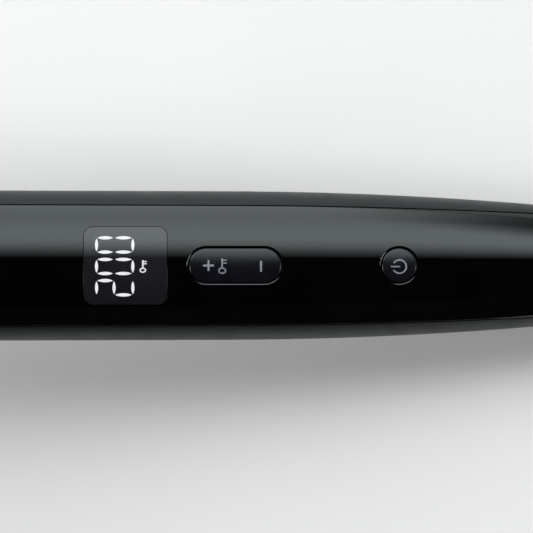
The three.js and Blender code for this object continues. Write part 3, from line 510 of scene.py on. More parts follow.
def key_symbol(name, shaft, tooth_end, tooth_ys, bow_centre, bow_half, stroke, low, high):
    """A flat key that points along +Y: a shaft, given as its X and Y spans, with two teeth that reach to
    `tooth_end`, and an open oval bow at its foot."""
    (left, right), (foot, tip_y) = shaft
    tooth_half = 0.13
    outline = [(left, tip_y), (right, tip_y)]
    for y in tooth_ys:
        outline += [(right, y + tooth_half), (tooth_end, y + tooth_half), (tooth_end, y - tooth_half),
                    (right, y - tooth_half)]
    outline += [(right, foot), (left, foot)]
    key = slab(name, [outline], low, high)
    ovals = [[(bow_centre[0] + (bow_half[0] - inset) * cos(tau * i / 32),
               bow_centre[1] + (bow_half[1] - inset) * sin(tau * i / 32))
              for i in range(32)] for inset in (0.0, stroke)]
    bow = slab(name, ovals, low, high)
    bow.select_set(True)
    key.select_set(True)
    bpy.context.view_layer.objects.active = key
    bpy.ops.object.join()
    return key


lamp_key = key_symbol(
    "key_lamp", shaft=((68.04, 68.4), (-0.5, 1.27)), tooth_end=69.13, tooth_ys=(0.94, 0.41),
    bow_centre=(68.22, -1.13), bow_half=(0.8, 0.62), stroke=0.3, low=-SEGMENT_DEPTH, high=SEGMENT_LIFT)
drape(lamp_key, "root", "lit_digits", lamp)

# ------------------------------------------------------------------ buttons
# The rocker and the power button are soft-touch painted ABS, crowned to follow the cover and standing
# slightly proud of it, with pad-printed grey symbols. Only their caps are drawn; the legs that reach the axle
# and the switches are not.
BUTTON_PROUD, CROWN, CAP_THICKNESS, CAP_EDGE = 0.28, 0.26, 1.9, 0.32
INK_LOW, INK_HIGH, INK_STROKE = -0.04, 0.02, 0.24
PLUS_X, MINUS_X, POWER_MARK_X, POWER_MARK_Y = 83.98, 96.58, 129.85, -0.26
soft_touch = surface("soft-touch painted ABS", "#09080e", "#0d0c13", 5, (0.24, 0.3), 0.3, 0.002, ior=1.52)
printed = surface("pad-printed grey ink", "#74757d", "#84858c", 2, (0.45, 0.55), 0.2, 0.002)


def cap(name, outline, places, body, node_name):
    """A button's cap with a softly rounded edge."""
    made = slab(name, [outline], -CAP_THICKNESS, 0.0, CAP_EDGE, rounds=4)
    slice_up(made, "y", between(-4.0, 4.0, 0.5))
    slice_up(made, "x", places)
    drape(made, body, "soft_button", soft_touch, node_name, lift=BUTTON_PROUD, crown=CROWN)


def print_on(symbol, body):
    """Prints a symbol on a button's crowned face."""
    slice_up(symbol, "y", between(-2.0, 2.0, 0.5))
    drape(symbol, body, "button_symbol", printed, lift=BUTTON_PROUD, crown=CROWN)


def print_outline(name, outline, body):
    print_on(slab(name, [outline], INK_LOW, INK_HIGH), body)


cap("rocker_cap", rocker_outline(), between(81.0, 100.0, STRIP_LENGTH), "rocker", "rocker_button")
cap("power_cap", power_outline(), [POWER_X], "power", "power_button")
plus_arm, minus_low, minus_high = 1.3, -1.5, 1.13
quarter = [(-INK_STROKE, plus_arm), (-INK_STROKE, INK_STROKE), (-plus_arm, INK_STROKE)]
half = quarter + [(x, -y) for x, y in reversed(quarter)]
plus = half + [(-x, y) for x, y in reversed(half)]
print_outline("plus_symbol", [(PLUS_X + x, y) for x, y in plus], "rocker")
print_outline("minus_symbol", [
    (MINUS_X - INK_STROKE, minus_low), (MINUS_X + INK_STROKE, minus_low), (MINUS_X + INK_STROKE, minus_high),
    (MINUS_X - INK_STROKE, minus_high)], "rocker")
print_on(key_symbol(
    "key_symbol", shaft=((87.06, 87.42), (-0.48, 1.73)), tooth_end=88.35, tooth_ys=(1.3, 0.59),
    bow_centre=(87.27, -1.24), bow_half=(0.97, 0.77), stroke=0.31, low=INK_LOW, high=INK_HIGH), "rocker")
print_outline("power_symbol", arc(POWER_MARK_X, POWER_MARK_Y, 1.78, -149, 149, 48)
              + arc(POWER_MARK_X, POWER_MARK_Y, 1.43, 149, -149, 48), "power")
print_outline("power_stroke", arc(POWER_MARK_X, POWER_MARK_Y, 0.17, -90, 90, 8)
              + arc(POWER_MARK_X - 1.95, POWER_MARK_Y, 0.17, 90, 270, 8), "power")

# ------------------------------------------------------------------ collar
# The collar is moulded in heat-resistant PBT plastic. Its spigot is screwed into the handle, its bore holds
# the barrel's rear end, and it carries the clamp's ears on top and the stand's lugs below.
BARREL_RADIUS, COLLAR_LENGTH, COLLAR_RADIUS, COLLAR_THROAT = 12.5, 30.0, 14.3, 8.6
CLAMP_PIVOT, STAND_PIVOT = (-10.0, 17.8), (-24.0, -16.8)
EAR_SPAN, LUG_SPAN = (5.2, 7.4), (6.0, 8.6)
PIN_RADIUS, GRUB_X, GRUB_HOLE = 1.25, -17.0, 1.15
heat_plastic = surface("heat-resistant PBT", "#131416", "#191a1d", 5, (0.42, 0.52), 0.4, 0.008, ior=1.55)


def upstand(name, outline, span, edge=0.3):
    """A flat plate cut to a side view in X and Z, standing across the iron between two places on Y."""
    plate = slab(name, [outline], -span[1], -span[0], edge)
    plate.data.transform(Matrix.Rotation(pi / 2, 4, "X"))
    return plate


collar_profile = [(-COLLAR_LENGTH, BARREL_RADIUS + 0.3), (-COLLAR_LENGTH, COLLAR_RADIUS - 0.8)]
collar_profile += [(-COLLAR_LENGTH + 0.25, COLLAR_RADIUS - 0.25), (-COLLAR_LENGTH + 0.8, COLLAR_RADIUS)]
collar_profile += [(-3.2, COLLAR_RADIUS), (-2.9, COLLAR_RADIUS - 0.35), (-2.1, COLLAR_RADIUS - 0.35),
                   (-1.8, COLLAR_RADIUS), (-0.55, COLLAR_RADIUS), (-0.3, COLLAR_RADIUS - 0.25),
                   (-0.3, SPIGOT_RADIUS), (14.0, SPIGOT_RADIUS), (14.0, COLLAR_THROAT), (-5.7, COLLAR_THROAT),
                   (-5.7, BARREL_RADIUS + 0.3)]
collar = turned("collar_body", collar_profile, 128, closed=True)
ear = [(CLAMP_PIVOT[0] + 5.5, 9.5)] + arc(*CLAMP_PIVOT, 3.0, 0, 180, 20) + [(CLAMP_PIVOT[0] - 5.5, 9.5)]
lug = [(STAND_PIVOT[0] - 4, -8.5)] + arc(*STAND_PIVOT, 2.8, 180, 360, 20) + [(STAND_PIVOT[0] + 5, -8.5)]
for outline, (near, far) in ((ear, EAR_SPAN), (lug, LUG_SPAN)):
    for span in ((near, far), (-far, -near)):
        part = upstand("upstand", outline, span)
        cut(part, rod("bore", BARREL_RADIUS + 0.8, -35.0, 0.0, steps=96))
        join(collar, part)
for pivot in (CLAMP_PIVOT, STAND_PIVOT):
    cut(collar, rod("pin_hole", PIN_RADIUS + 0.12, -20.0, 20.0, pivot, "y"))
cut(collar, rod("grub_hole", GRUB_HOLE, -20.0, 20.0, (GRUB_X, 0.0), "y", 32))
leave_edit(collar)
settle(collar, "root", "heat_plastic", heat_plastic, "barrel_collar")

# ------------------------------------------------------------------ barrel and cool tip
# The barrel is a drawn aluminium tube with a graphite-coloured ceramic coat. The cool tip is heat-resistant
# plastic, pulled against its front end by a screw into a steel strap inside the tube.
BARREL_FRONT, BARREL_REAR, BARREL_WALL = -166.0, -6.0, 0.9
TIP_LENGTH, TIP_NOSE, TIP_WELL, TIP_WELL_RADIUS = 14.0, 5.0, 3.0, 2.8
bore = BARREL_RADIUS - BARREL_WALL
tube = turned("barrel_tube", [
    (BARREL_FRONT, bore + 0.15), (BARREL_FRONT, BARREL_RADIUS - 0.25),
    (BARREL_FRONT + 0.08, BARREL_RADIUS - 0.08), (BARREL_FRONT + 0.25, BARREL_RADIUS),
    (-120.0, BARREL_RADIUS), (-70.0, BARREL_RADIUS), (BARREL_REAR, BARREL_RADIUS), (BARREL_REAR, bore),
    (BARREL_FRONT + 0.15, bore)], 160, closed=True)
cut(tube, rod("grub_hole", GRUB_HOLE, -20.0, 20.0, (GRUB_X, 0.0), "y", 32))
leave_edit(tube)
ceramic_coat = surface("graphite ceramic coat", "#333236", "#3d3c40", 14, (0.27, 0.34), 0.5, 0.0025,
                       metallic=0.55, Coat_Weight=0.35, Coat_Roughness=0.22)
settle(tube, "root", "coated_barrel", ceramic_coat, "barrel")

tip_shoulder = BARREL_FRONT - 0.3
tip_front = tip_shoulder - TIP_LENGTH
nose = [(tip_front + TIP_NOSE * (1 - cos(radians(a))), BARREL_RADIUS - TIP_NOSE * (1 - sin(radians(a))))
        for a in range(0, 91, 9)]
grooves = []
for x in (tip_shoulder - 6.6, tip_shoulder - 4.6, tip_shoulder - 2.6):
    grooves += [(x - 0.45, BARREL_RADIUS), (x - 0.3, BARREL_RADIUS - 0.3), (x + 0.3, BARREL_RADIUS - 0.3),
                (x + 0.45, BARREL_RADIUS)]
tip = turned("grip_tip", [
    (tip_front + TIP_WELL, 0.0), (tip_front + TIP_WELL, TIP_WELL_RADIUS), (tip_front + 0.2, TIP_WELL_RADIUS),
    (tip_front, TIP_WELL_RADIUS + 0.2)] + nose + grooves + [
    (tip_shoulder - 0.2, BARREL_RADIUS), (tip_shoulder, BARREL_RADIUS - 0.2), (tip_shoulder, bore - 0.3),
    (tip_shoulder + 7.0, bore - 0.3), (tip_shoulder + 7.0, bore - 2.3), (tip_front + 5.0, bore - 2.3),
    (tip_front + 5.0, 0.0)], 128)
settle(tip, "root", "heat_plastic", heat_plastic, "cool_tip")

# ------------------------------------------------------------------ screws
# Zinc-plated steel: three cross-recessed case screws in the shell's wells, one in the tip, and two grub
# screws that hold the barrel in its collar. Plating leaves a faint blue-grey cast and fine turning marks.
SEAT_GAP, SHANK_RADIUS, CASE_HEAD, TIP_HEAD = 0.3, 1.25, 1.0, 1.4
plated_steel = surface("zinc-plated steel", "#a9adb3", "#bfc2c6", 1.5, (0.28, 0.4), 0.12, 0.0015,
                       metallic=1.0)


def cross_recess(screw, place, across, axis):
    """Cuts a cross recess 1.1 mm deep into the head that faces down an axis, at `place` on that axis."""
    for width, length in ((0.55, 3.0), (3.0, 0.55)):
        bpy.ops.mesh.primitive_cube_add(size=1)
        tool = bpy.context.object
        edit(tool)
        bpy.ops.mesh.bevel(offset=0.08, segments=1)
        leave_edit(tool)
        tool.data.transform(Matrix.Diagonal((width, length, 2.2, 1)))
        if axis == "x":
            tool.data.transform(Matrix.Rotation(pi / 2, 4, "Y"))
            tool.data.transform(Matrix.Translation((place, *across)))
        else:
            tool.data.transform(Matrix.Translation((*across, place)))
        cut(screw, tool)


def screw_profile(seat, end, head, head_height, shank):
    """Pan head below its seat, then a threaded shank up to its point."""
    pitch, root = 0.8, shank * 0.85
    points = [(seat - head_height, 0.0), (seat - head_height, head * 0.72),
              (seat - head_height * 0.72, head * 0.93), (seat - head_height * 0.3, head), (seat, head),
              (seat, root)]
    crest = seat + 1.0
    while crest < end - 1.4:
        points += [(crest, root), (crest + 0.25, shank), (crest + 0.5, root)]
        crest += pitch
    return points + [(end - 0.9, shank * 0.8), (end, 0.0)]


def stand_up(piece, x):
    """Turns a piece drawn along the iron upright, its top up, at a place along the iron."""
    piece.data.transform(Matrix.Rotation(-pi / 2, 4, "Y"))
    piece.data.transform(Matrix.Translation((x, 0, 0)))


def case_screw(name, x, end, *nodes):
    seat = screw_seat(x) - SEAT_GAP
    made = turned(name, screw_profile(seat, end, HEAD_RADIUS, CASE_HEAD, SHANK_RADIUS), 48)
    stand_up(made, x)
    cross_recess(made, seat - CASE_HEAD, (x, 0), "z")
    leave_edit(made)
    settle(made, "root", "steel", plated_steel, *nodes)


case_screw("screw_collar", COLLAR_SCREW_X, -SPIGOT_RADIUS + 2.0, "collar_screw")
case_screw("screw_cover_front", COVER_SCREW_XS[0], 6.0, "cover_screw_front")
case_screw("screw_cover_rear", COVER_SCREW_XS[1], 6.0, "cover_screw_rear")
tip_seat = tip_front + TIP_WELL - SEAT_GAP
tip_bolt = turned("screw_tip", screw_profile(
    tip_seat, BARREL_FRONT + 13.0, HEAD_RADIUS, TIP_HEAD, SHANK_RADIUS), 48)
cross_recess(tip_bolt, tip_seat - TIP_HEAD, (0, 0), "x")
leave_edit(tip_bolt)
settle(tip_bolt, "root", "steel", plated_steel, "tip_screw")
GRUB_RADIUS, GRUB_IN, SOCKET_IN, SOCKET_RADIUS = 0.95, 10.6, 13.2, 0.5
for name, side, node_name in (("grub_left", -1, "barrel_screw_left"),
                              ("grub_right", 1, "barrel_screw_right")):
    ends = sorted((side * GRUB_IN, side * (COLLAR_RADIUS - 0.2)))
    grub = rod(name, GRUB_RADIUS, *ends, (GRUB_X, 0.0), "y", 32, 0.12)
    socket = sorted((side * SOCKET_IN, side * 15.0))
    cut(grub, rod("hex_socket", SOCKET_RADIUS, *socket, (GRUB_X, 0.0), "y", 6))
    leave_edit(grub)
    settle(grub, "root", "steel", plated_steel, node_name)

# ------------------------------------------------------------------ clamp
# The plate is pressed steel with the barrel's ceramic coat, riveted to a folded steel bracket that turns on a
# pin through the collar's ears. A moulded lever is screwed onto the bracket's tail.
PLATE_RADIUS, PLATE_THICKNESS, PLATE_HALF_ANGLE = 12.8, 0.9, 48.0
PLATE_FRONT, PLATE_REAR, PLATE_NOSE = -154.0, -31.6, 16.0
PLATE_TOP = PLATE_RADIUS + PLATE_THICKNESS
RIVET_XS, LEVER_SCREW_X = (-44.0, -37.0), 4.0
BRACKET_HALF, SHEET = 4.6, 1.2

middle_radius = PLATE_RADIUS + PLATE_THICKNESS / 2
plate_half = middle_radius * radians(PLATE_HALF_ANGLE)
nose_turns = [radians(90 * i / 20) for i in range(21)]
right_nose = [(PLATE_FRONT + PLATE_NOSE * (1 - sin(t)), plate_half * cos(t) ** 0.8) for t in nose_turns]
plate_outline = arc(PLATE_REAR - 1.5, plate_half - 1.5, 1.5, 0, 90, 6) + right_nose
plate_outline += [(x, -y) for x, y in reversed(plate_outline) if y > 1e-6]
plate = slab("clamp_shoe", [
    plate_outline, *[arc(x, 0, 1.4, 0, 360, 24)[:-1] for x in RIVET_XS]], 0.0, PLATE_THICKNESS, edge=0.3)
slice_up(plate, "y", between(-plate_half + 0.6, plate_half - 0.6, 0.7))
slice_up(plate, "x", between(PLATE_FRONT + 1.5, PLATE_FRONT + 22.5, 1.5))
for vertex in plate.data.vertices:
    x, along, height = vertex.co
    flare = 0.5 * max(0.0, (PLATE_FRONT + 6.0 - x) / 6.0) ** 2
    radius = PLATE_RADIUS + height + flare
    vertex.co = (x, radius * sin(along / middle_radius), radius * cos(along / middle_radius))
leave_edit(plate)
settle(plate, "clamp", "coated_barrel", ceramic_coat, "clamp_plate")

tongue_z, bridge_z = PLATE_TOP + 0.3, CLAMP_PIVOT[1] + 4.0
bracket_front, bracket_rear = -COLLAR_LENGTH - 18.0, CLAMP_PIVOT[0] + 18.0
under = [(bracket_front, tongue_z), (-COLLAR_LENGTH - 2, tongue_z), (-COLLAR_LENGTH + 1, tongue_z + 0.9),
         (CLAMP_PIVOT[0] - 6.5, tongue_z + 1.9), (CLAMP_PIVOT[0] - 2, bridge_z),
         (bracket_rear, bridge_z + 0.9)]
bracket = upstand("clamp_strap", under + [(x, z + SHEET) for x, z in reversed(under)],
                  (-BRACKET_HALF, BRACKET_HALF), 0.12)
strap_ear = [(CLAMP_PIVOT[0] + 5, bridge_z + 0.6), (CLAMP_PIVOT[0] - 3, bridge_z + 0.6)] + arc(
    *CLAMP_PIVOT, 2.9, 180, 360, 20)
for span in ((BRACKET_HALF - SHEET, BRACKET_HALF), (-BRACKET_HALF, SHEET - BRACKET_HALF)):
    join(bracket, upstand("strap_ear", strap_ear, span, 0.12))
cut(bracket, rod("pin_hole", PIN_RADIUS + 0.35, -9.0, 9.0, CLAMP_PIVOT, "y"))
for x in (*RIVET_XS, LEVER_SCREW_X):
    cut(bracket, rod("rivet_hole", 1.4, 0.0, 30.0, (x, 0.0), "z", 32))
leave_edit(bracket)
pressed_steel = surface("pressed stainless steel", "#8d9094", "#a3a6a9", 3, (0.3, 0.42), 0.15, 0.002,
                        metallic=1.0, stretch=(0.15, 1, 1))
settle(bracket, "clamp", "steel", pressed_steel, "clamp_bracket")

rivet_seat = tongue_z + SHEET + 0.3
for name, x, node_name in (("rivet_front", RIVET_XS[0], "clamp_rivet_front"),
                           ("rivet_rear", RIVET_XS[1], "clamp_rivet_rear")):
    dome = [(rivet_seat + 0.9 * cos(radians(a)), 2.0 * sin(radians(a))) for a in range(90, -1, -15)]
    rivet = turned(name, [(PLATE_RADIUS + 0.1, 0.0), (PLATE_RADIUS + 0.1, 1.1), (rivet_seat, 1.1)] + dome, 48)
    stand_up(rivet, x)
    settle(rivet, "clamp", "steel", pressed_steel, node_name)

# The lever: a saddle over the bracket that sweeps up and back into a thumb pad, in the shell's nylon.
LEVER_STATIONS = (
    # X, underside, top, half width
    (-22.0, 19.6, 20.6, 7.4), (-21.2, 19.3, 22.6, 8.1), (-18.5, 19.0, 24.6, 8.5), (-12.0, 18.6, 25.6, 8.7),
    (-3.0, 19.6, 26.0, 8.9), (5.0, 21.8, 26.7, 9.1), (12.0, 23.8, 27.7, 9.4), (20.0, 25.6, 29.0, 9.4),
    (26.5, 26.5, 29.6, 8.6), (29.6, 27.1, 29.5, 6.6), (30.4, 27.8, 28.9, 4.6))
first = LEVER_STATIONS[0]
bpy.ops.mesh.primitive_plane_add(size=1)
lever = bpy.context.object
lever.name = lever.data.name = "thumb_lever"
edit(lever)
bpy.ops.transform.rotate(value=pi / 2, orient_axis="Y", center_override=(0, 0, 0))
bpy.ops.mesh.subdivide(number_cuts=3)
bpy.ops.transform.resize(value=(1, 2 * first[3], first[2] - first[1]), center_override=(0, 0, 0))
bpy.ops.transform.translate(value=(first[0], 0, (first[1] + first[2]) / 2))
for before, after in zip(LEVER_STATIONS, LEVER_STATIONS[1:]):
    old_middle, new_middle = (before[1] + before[2]) / 2, (after[1] + after[2]) / 2
    bpy.ops.mesh.extrude_region_move(TRANSFORM_OT_translate={
        "value": (after[0] - before[0], 0, new_middle - old_middle)})
    bpy.ops.transform.resize(
        value=(1, after[3] / before[3], (after[2] - after[1]) / (before[2] - before[1])),
        center_override=(after[0], 0, new_middle))
bpy.ops.mesh.select_all(action="SELECT")
bpy.ops.mesh.normals_make_consistent(inside=False)
leave_edit(lever)
rounding = lever.modifiers.new("rounding", "SUBSURF")
rounding.levels = rounding.render_levels = 3
bpy.context.view_layer.objects.active = lever
bpy.ops.object.modifier_apply(modifier=rounding.name)
cavity_side = [(-27.0, 0.0), (12.0, 0.0), (9.0, 24.1), (-13.0, 23.3), (-20.0, 18.9), (-27.0, 18.9)]
cavity = upstand("cavity", cavity_side, (-7.75, 7.75), 0.4)
cut(lever, cavity)
leave_edit(lever, 40)
settle(lever, "clamp", "satin_grey", satin_grey, "clamp_lever")

LEVER_SCREW_LENGTH, LEVER_SCREW_HEAD, LEVER_SCREW_HEIGHT, LEVER_SCREW_SHANK = 3.35, 2.0, 0.95, 1.1
lever_seat = bridge_z - SEAT_GAP / 2
lever_bolt = turned("screw_lever", screw_profile(
    lever_seat, lever_seat + LEVER_SCREW_LENGTH, LEVER_SCREW_HEAD, LEVER_SCREW_HEIGHT, LEVER_SCREW_SHANK), 48)
stand_up(lever_bolt, LEVER_SCREW_X)
settle(lever_bolt, "clamp", "steel", plated_steel, "lever_screw")

# Hinge pins: ground steel, chamfered, pressed through the collar's ears and lugs. The spring on the clamp's
# pin is hard-drawn wire, its lower leg along the collar and its upper leg under the bracket.
ground_steel = surface("ground steel pin", "#a2a5a9", "#b6b8bb", 2, (0.2, 0.28), 0.1, 0.0008, metallic=1.0)
ARM_SPAN = (8.95, 11.95)  # the stand's arms, which its pin reaches across
for pivot, half, name, node_name in ((CLAMP_PIVOT, EAR_SPAN[1], "pin_clamp", "clamp_pin"),
                                     (STAND_PIVOT, ARM_SPAN[1], "pin_stand", "stand_pin")):
    pin = rod(name, PIN_RADIUS, -half, half, pivot, "y", 48, 0.22)
    settle(pin, "root", "steel", ground_steel, node_name)

SPRING_RADIUS, WIRE_RADIUS, SPRING_HALF, COIL_POINTS = 2.55, 0.45, 2.1, 108
coil = [(CLAMP_PIVOT[0] + 7.5, -SPRING_HALF, CLAMP_PIVOT[1] - SPRING_RADIUS)]
for i in range(COIL_POINTS + 1):
    turn = -pi / 2 - i / 24 * tau
    coil.append((CLAMP_PIVOT[0] + SPRING_RADIUS * cos(turn), SPRING_HALF * (2 * i / COIL_POINTS - 1),
                 CLAMP_PIVOT[1] + SPRING_RADIUS * sin(turn)))
coil.append((CLAMP_PIVOT[0] + 3.4, SPRING_HALF, CLAMP_PIVOT[1] + SPRING_RADIUS))
spring_curve = bpy.data.curves.new("torsion_spring", "CURVE")
spring_curve.dimensions = "3D"
spring_curve.bevel_depth = WIRE_RADIUS
spring_curve.bevel_resolution = 3
spring_curve.use_fill_caps = True
spring_line = spring_curve.splines.new("POLY")
spring_line.points.add(len(coil) - 1)
for point, place in zip(spring_line.points, coil):
    point.co = (*place, 1)
spring = bpy.data.objects.new("torsion_spring", spring_curve)
bpy.context.scene.collection.objects.link(spring)
bpy.context.view_layer.objects.active = spring
spring.select_set(True)
bpy.ops.object.convert(target="MESH")
edit(spring)
bpy.ops.mesh.remove_doubles(threshold=1e-4)
bpy.ops.mesh.normals_make_consistent(inside=False)
leave_edit(spring)
settle(spring, "root", "steel", ground_steel, "clamp_spring")

# ------------------------------------------------------------------ stand
# A folding leg in heat-resistant plastic: two arms that snap over the pin outside the collar's lugs, and a
# round foot bar, flattened where it rests on the table.
FOOT_X, FOOT_Z, FOOT_HALF = -19.0, -36.0, 18.0
LEG_THICKNESS, EYE_RADIUS, FOOT_RADIUS = 3.2, 3.2, 2.8
reach = hypot(FOOT_X - STAND_PIVOT[0], FOOT_Z - STAND_PIVOT[1])
foot_middle = 1.0 - reach


def sweep(a, b, c, d, steps=12):
    """Points on a cubic from a to d, drawn towards b and c; the first point is left out."""
    places = [i / steps for i in range(1, steps + 1)]
    return [tuple((1 - t) ** 3 * p + 3 * (1 - t) ** 2 * t * q + 3 * (1 - t) * t * t * r + t ** 3 * s
                  for p, q, r, s in zip(a, b, c, d)) for t in places]


arm_in, arm_out = ARM_SPAN[0] + 0.2, ARM_SPAN[1] - 0.2
knee = (FOOT_HALF - 4.5, 7.0 - reach)
inner_side = [(arm_in, 0.0)] + sweep((arm_in, 0.0), (arm_in, -6.0), (FOOT_HALF - 4.0, 10.0 - reach), knee)
inner_side += sweep(
    knee, (FOOT_HALF - 4.8, 5.4 - reach), (FOOT_HALF - 6, 4.6 - reach), (FOOT_HALF - 8, 4.6 - reach), 6)
outer_side = [(arm_out, 0.0)] + sweep((arm_out, 0.0), (arm_out, -6.0), (FOOT_HALF - 0.5, 10.0 - reach),
                                      (FOOT_HALF - 0.5, foot_middle))
leg_outline = inner_side[::-1] + outer_side + [(-y, z) for y, z in reversed(outer_side)]
leg_outline += [(-y, z) for y, z in inner_side]
leg = slab("stand_frame", [leg_outline], -LEG_THICKNESS / 2, LEG_THICKNESS / 2, 0.7, 3)
leg.data.transform(Matrix.Rotation(pi / 2, 4, "X"))
leg.data.transform(Matrix.Rotation(pi / 2, 4, "Z"))
join(leg, rod("foot_bar", FOOT_RADIUS, -FOOT_HALF, FOOT_HALF, (0.0, foot_middle), "y", 64, 0.6))
for near, far in (ARM_SPAN, (-ARM_SPAN[1], -ARM_SPAN[0])):
    join(leg, rod("eye", EYE_RADIUS, near, far, (0.0, 0.0), "y", 64, 0.3))
cut(leg, rod("pin_hole", PIN_RADIUS + 0.2, -30.0, 30.0, (0.0, 0.0), "y"))
stand_turn = -acos((STAND_PIVOT[1] - FOOT_Z) / reach)
leg.data.transform(Matrix.Rotation(stand_turn, 4, "Y"))
leg.data.transform(Matrix.Translation((STAND_PIVOT[0], 0, STAND_PIVOT[1])))
edit(leg)
bpy.ops.mesh.bisect(plane_co=(FOOT_X, 0, FOOT_Z), plane_no=(sin(lean), 0, -cos(lean)), use_fill=True,
                    clear_outer=True)
leave_edit(leg, 38)
settle(leg, "stand", "heat_plastic", heat_plastic, "stand_leg")

# ------------------------------------------------------------------ cord swivel
# The gland turns in the tail so that the mains cord doesn't kink. It is heat-resistant plastic, with a collar
# outside the tail ring and a ribbed grip round the bore that the cord comes out of.
GLAND_FRONT, GLAND_NECK, GLAND_BARB, GLAND_BODY, GLAND_FLANGE, GLAND_GRIP = 165.05, 4.4, 6.65, 6.0, 8.0, 6.5
GLAND_BORE, GLAND_THROAT, RIB_PITCH = 4.2, 3.6, 1.5
gland_profile = [
    (GLAND_FRONT, GLAND_THROAT), (GLAND_FRONT, GLAND_NECK), (177.35, GLAND_NECK), (177.35, GLAND_BARB),
    (179.35, GLAND_BARB), (179.35, GLAND_BODY), (196.35, GLAND_BODY), (196.35, GLAND_FLANGE - 0.7),
    (196.55, GLAND_FLANGE - 0.25), (196.95, GLAND_FLANGE), (197.9, GLAND_FLANGE),
    (198.25, GLAND_FLANGE - 0.2), (198.5, GLAND_FLANGE - 0.7), (199.2, GLAND_BARB)]
for rib in range(4):
    x = 200.0 + RIB_PITCH * rib
    gland_profile += [(x, GLAND_GRIP), (x + 0.25, GLAND_GRIP - 0.3), (x + 0.75, GLAND_GRIP - 0.3),
                      (x + 1.0, GLAND_GRIP - 0.05)]
gland_profile += [
    (206.2, GLAND_GRIP - 0.45), (206.75, GLAND_GRIP - 0.75), (IRON_LENGTH, 5.2),
    (IRON_LENGTH, GLAND_BORE + 0.3), (206.6, GLAND_BORE), (181.2, GLAND_BORE), (177.2, GLAND_THROAT)]
gland = turned("cord_gland", gland_profile, 128, closed=True)
settle(gland, "cord_swivel", "heat_plastic", heat_plastic, "swivel_gland")

# ------------------------------------------------------------------ inside
# The pieces inside keep the frame's shapes: the heater between its aluminium spreaders, the two circuit
# boards with their parts, the leads and the swivel's brass rings. Each takes its own material's finish.
alloy = surface("extruded aluminium", "#a9acaf", "#bdbfc2", 6, (0.35, 0.5), 0.3, 0.004, metallic=1.0,
                stretch=(0.08, 1, 1))
brass = surface("turned brass", "#b28a45", "#caa45d", 3, (0.28, 0.4), 0.15, 0.0015, metallic=1.0)
board_green = surface("solder-masked glass epoxy", "#123a25", "#1c5236", 5, (0.35, 0.5), 0.5, 0.004)
chip_black = surface("epoxy chip moulding", "#0e0f10", "#17181a", 2, (0.5, 0.65), 0.15, 0.003)
led_grey = surface("reflector housing", "#2b2d30", "#3a3d40", 3, (0.5, 0.65), 0.3, 0.004)
alumina = surface("white alumina ceramic", "#d6d2c9", "#e9e6df", 3, (0.45, 0.6), 0.25, 0.004)
silicone = surface("red silicone sleeve", "#9c3a31", "#b9453b", 4, (0.5, 0.65), 0.3, 0.004)
film_blue = surface("blue film capacitor dip", "#214a80", "#2f5f9e", 3, (0.3, 0.45), 0.6, 0.01)
KEPT = (
    (alloy, ("heat_spreader_upper", "heat_spreader_lower")),
    (brass, ("contact_ring_front", "contact_ring_rear", "brush_front", "brush_rear")),
    (board_green, ("control_board", "power_board")),
    (chip_black, ("switch_plus", "switch_minus", "switch_power", "control_chip", "triac")),
    (led_grey, ("display_module",)),
    (alumina, ("heater_plate", "thermistor", "thermal_fuse")),
    (silicone, ("heater_lead_left", "heater_lead_right", "sensor_lead", "supply_lead_left",
                "supply_lead_right")),
    (film_blue, ("film_capacitor",)),
    (heat_plastic, ("button_frame", "swivel_housing")),
    (plated_steel, ("tip_anchor", "rocker_axle", "power_board_screw_front", "power_board_screw_rear",
                    "control_screw_front", "control_screw_rear")))
for material, names in KEPT:
    for name in names:
        slots = frame["nodes"][name].data.materials
        slots.clear()
        slots.append(material)

# ------------------------------------------------------------------ stage, light and camera
# A pale sheet on a table, a tall soft box along one side of the iron that fades towards its top, and faint
# lights to each side. The camera looks straight down on the display.
bpy.context.scene.view_settings.view_transform = "Standard"
world = bpy.data.worlds.new("studio")
bpy.context.scene.world = world
world.use_nodes = True
background = world.node_tree.nodes["Background"].inputs
background["Color"].default_value = (1, 1, 1, 1)
background["Strength"].default_value = 0.01

bpy.ops.object.select_all(action="DESELECT")
bpy.ops.mesh.primitive_plane_add(size=16, location=(0, 0, -0.0001))
table = bpy.context.object
table.name = "table"
table.data.materials.append(surface("pale table sheet", "#eae1df", "#ece3e1", 60, (0.7, 0.75), 2.0, 0.02))

SOFTBOX_WIDTH, SOFTBOX_HEIGHT, SOFTBOX_STRENGTH = 1.0, 2.25, 2.8
# The soft box fades as a share of its full strength at each height in metres.
FADE_HEIGHT = 2.5
FADE = ((0.5, 1.0), (0.54, 0.95), (0.606, 0.87), (0.73, 0.72), (0.875, 0.525), (1.077, 0.33), (1.383, 0.16),
        (1.888, 0.03), (2.1, 0.0))


def upright_sheet(name, width, height, place):
    """A flat sheet that stands along the iron, out of the camera's sight."""
    bpy.ops.object.select_all(action="DESELECT")
    bpy.ops.mesh.primitive_plane_add(size=1)
    sheet = bpy.context.object
    sheet.name = name
    sheet.data.transform(Matrix.Diagonal((width, height, 1, 1)))
    sheet.data.transform(Matrix.Rotation(pi / 2, 4, "X"))
    sheet.data.transform(Matrix.Translation(place))
    sheet.visible_camera = False
    return sheet


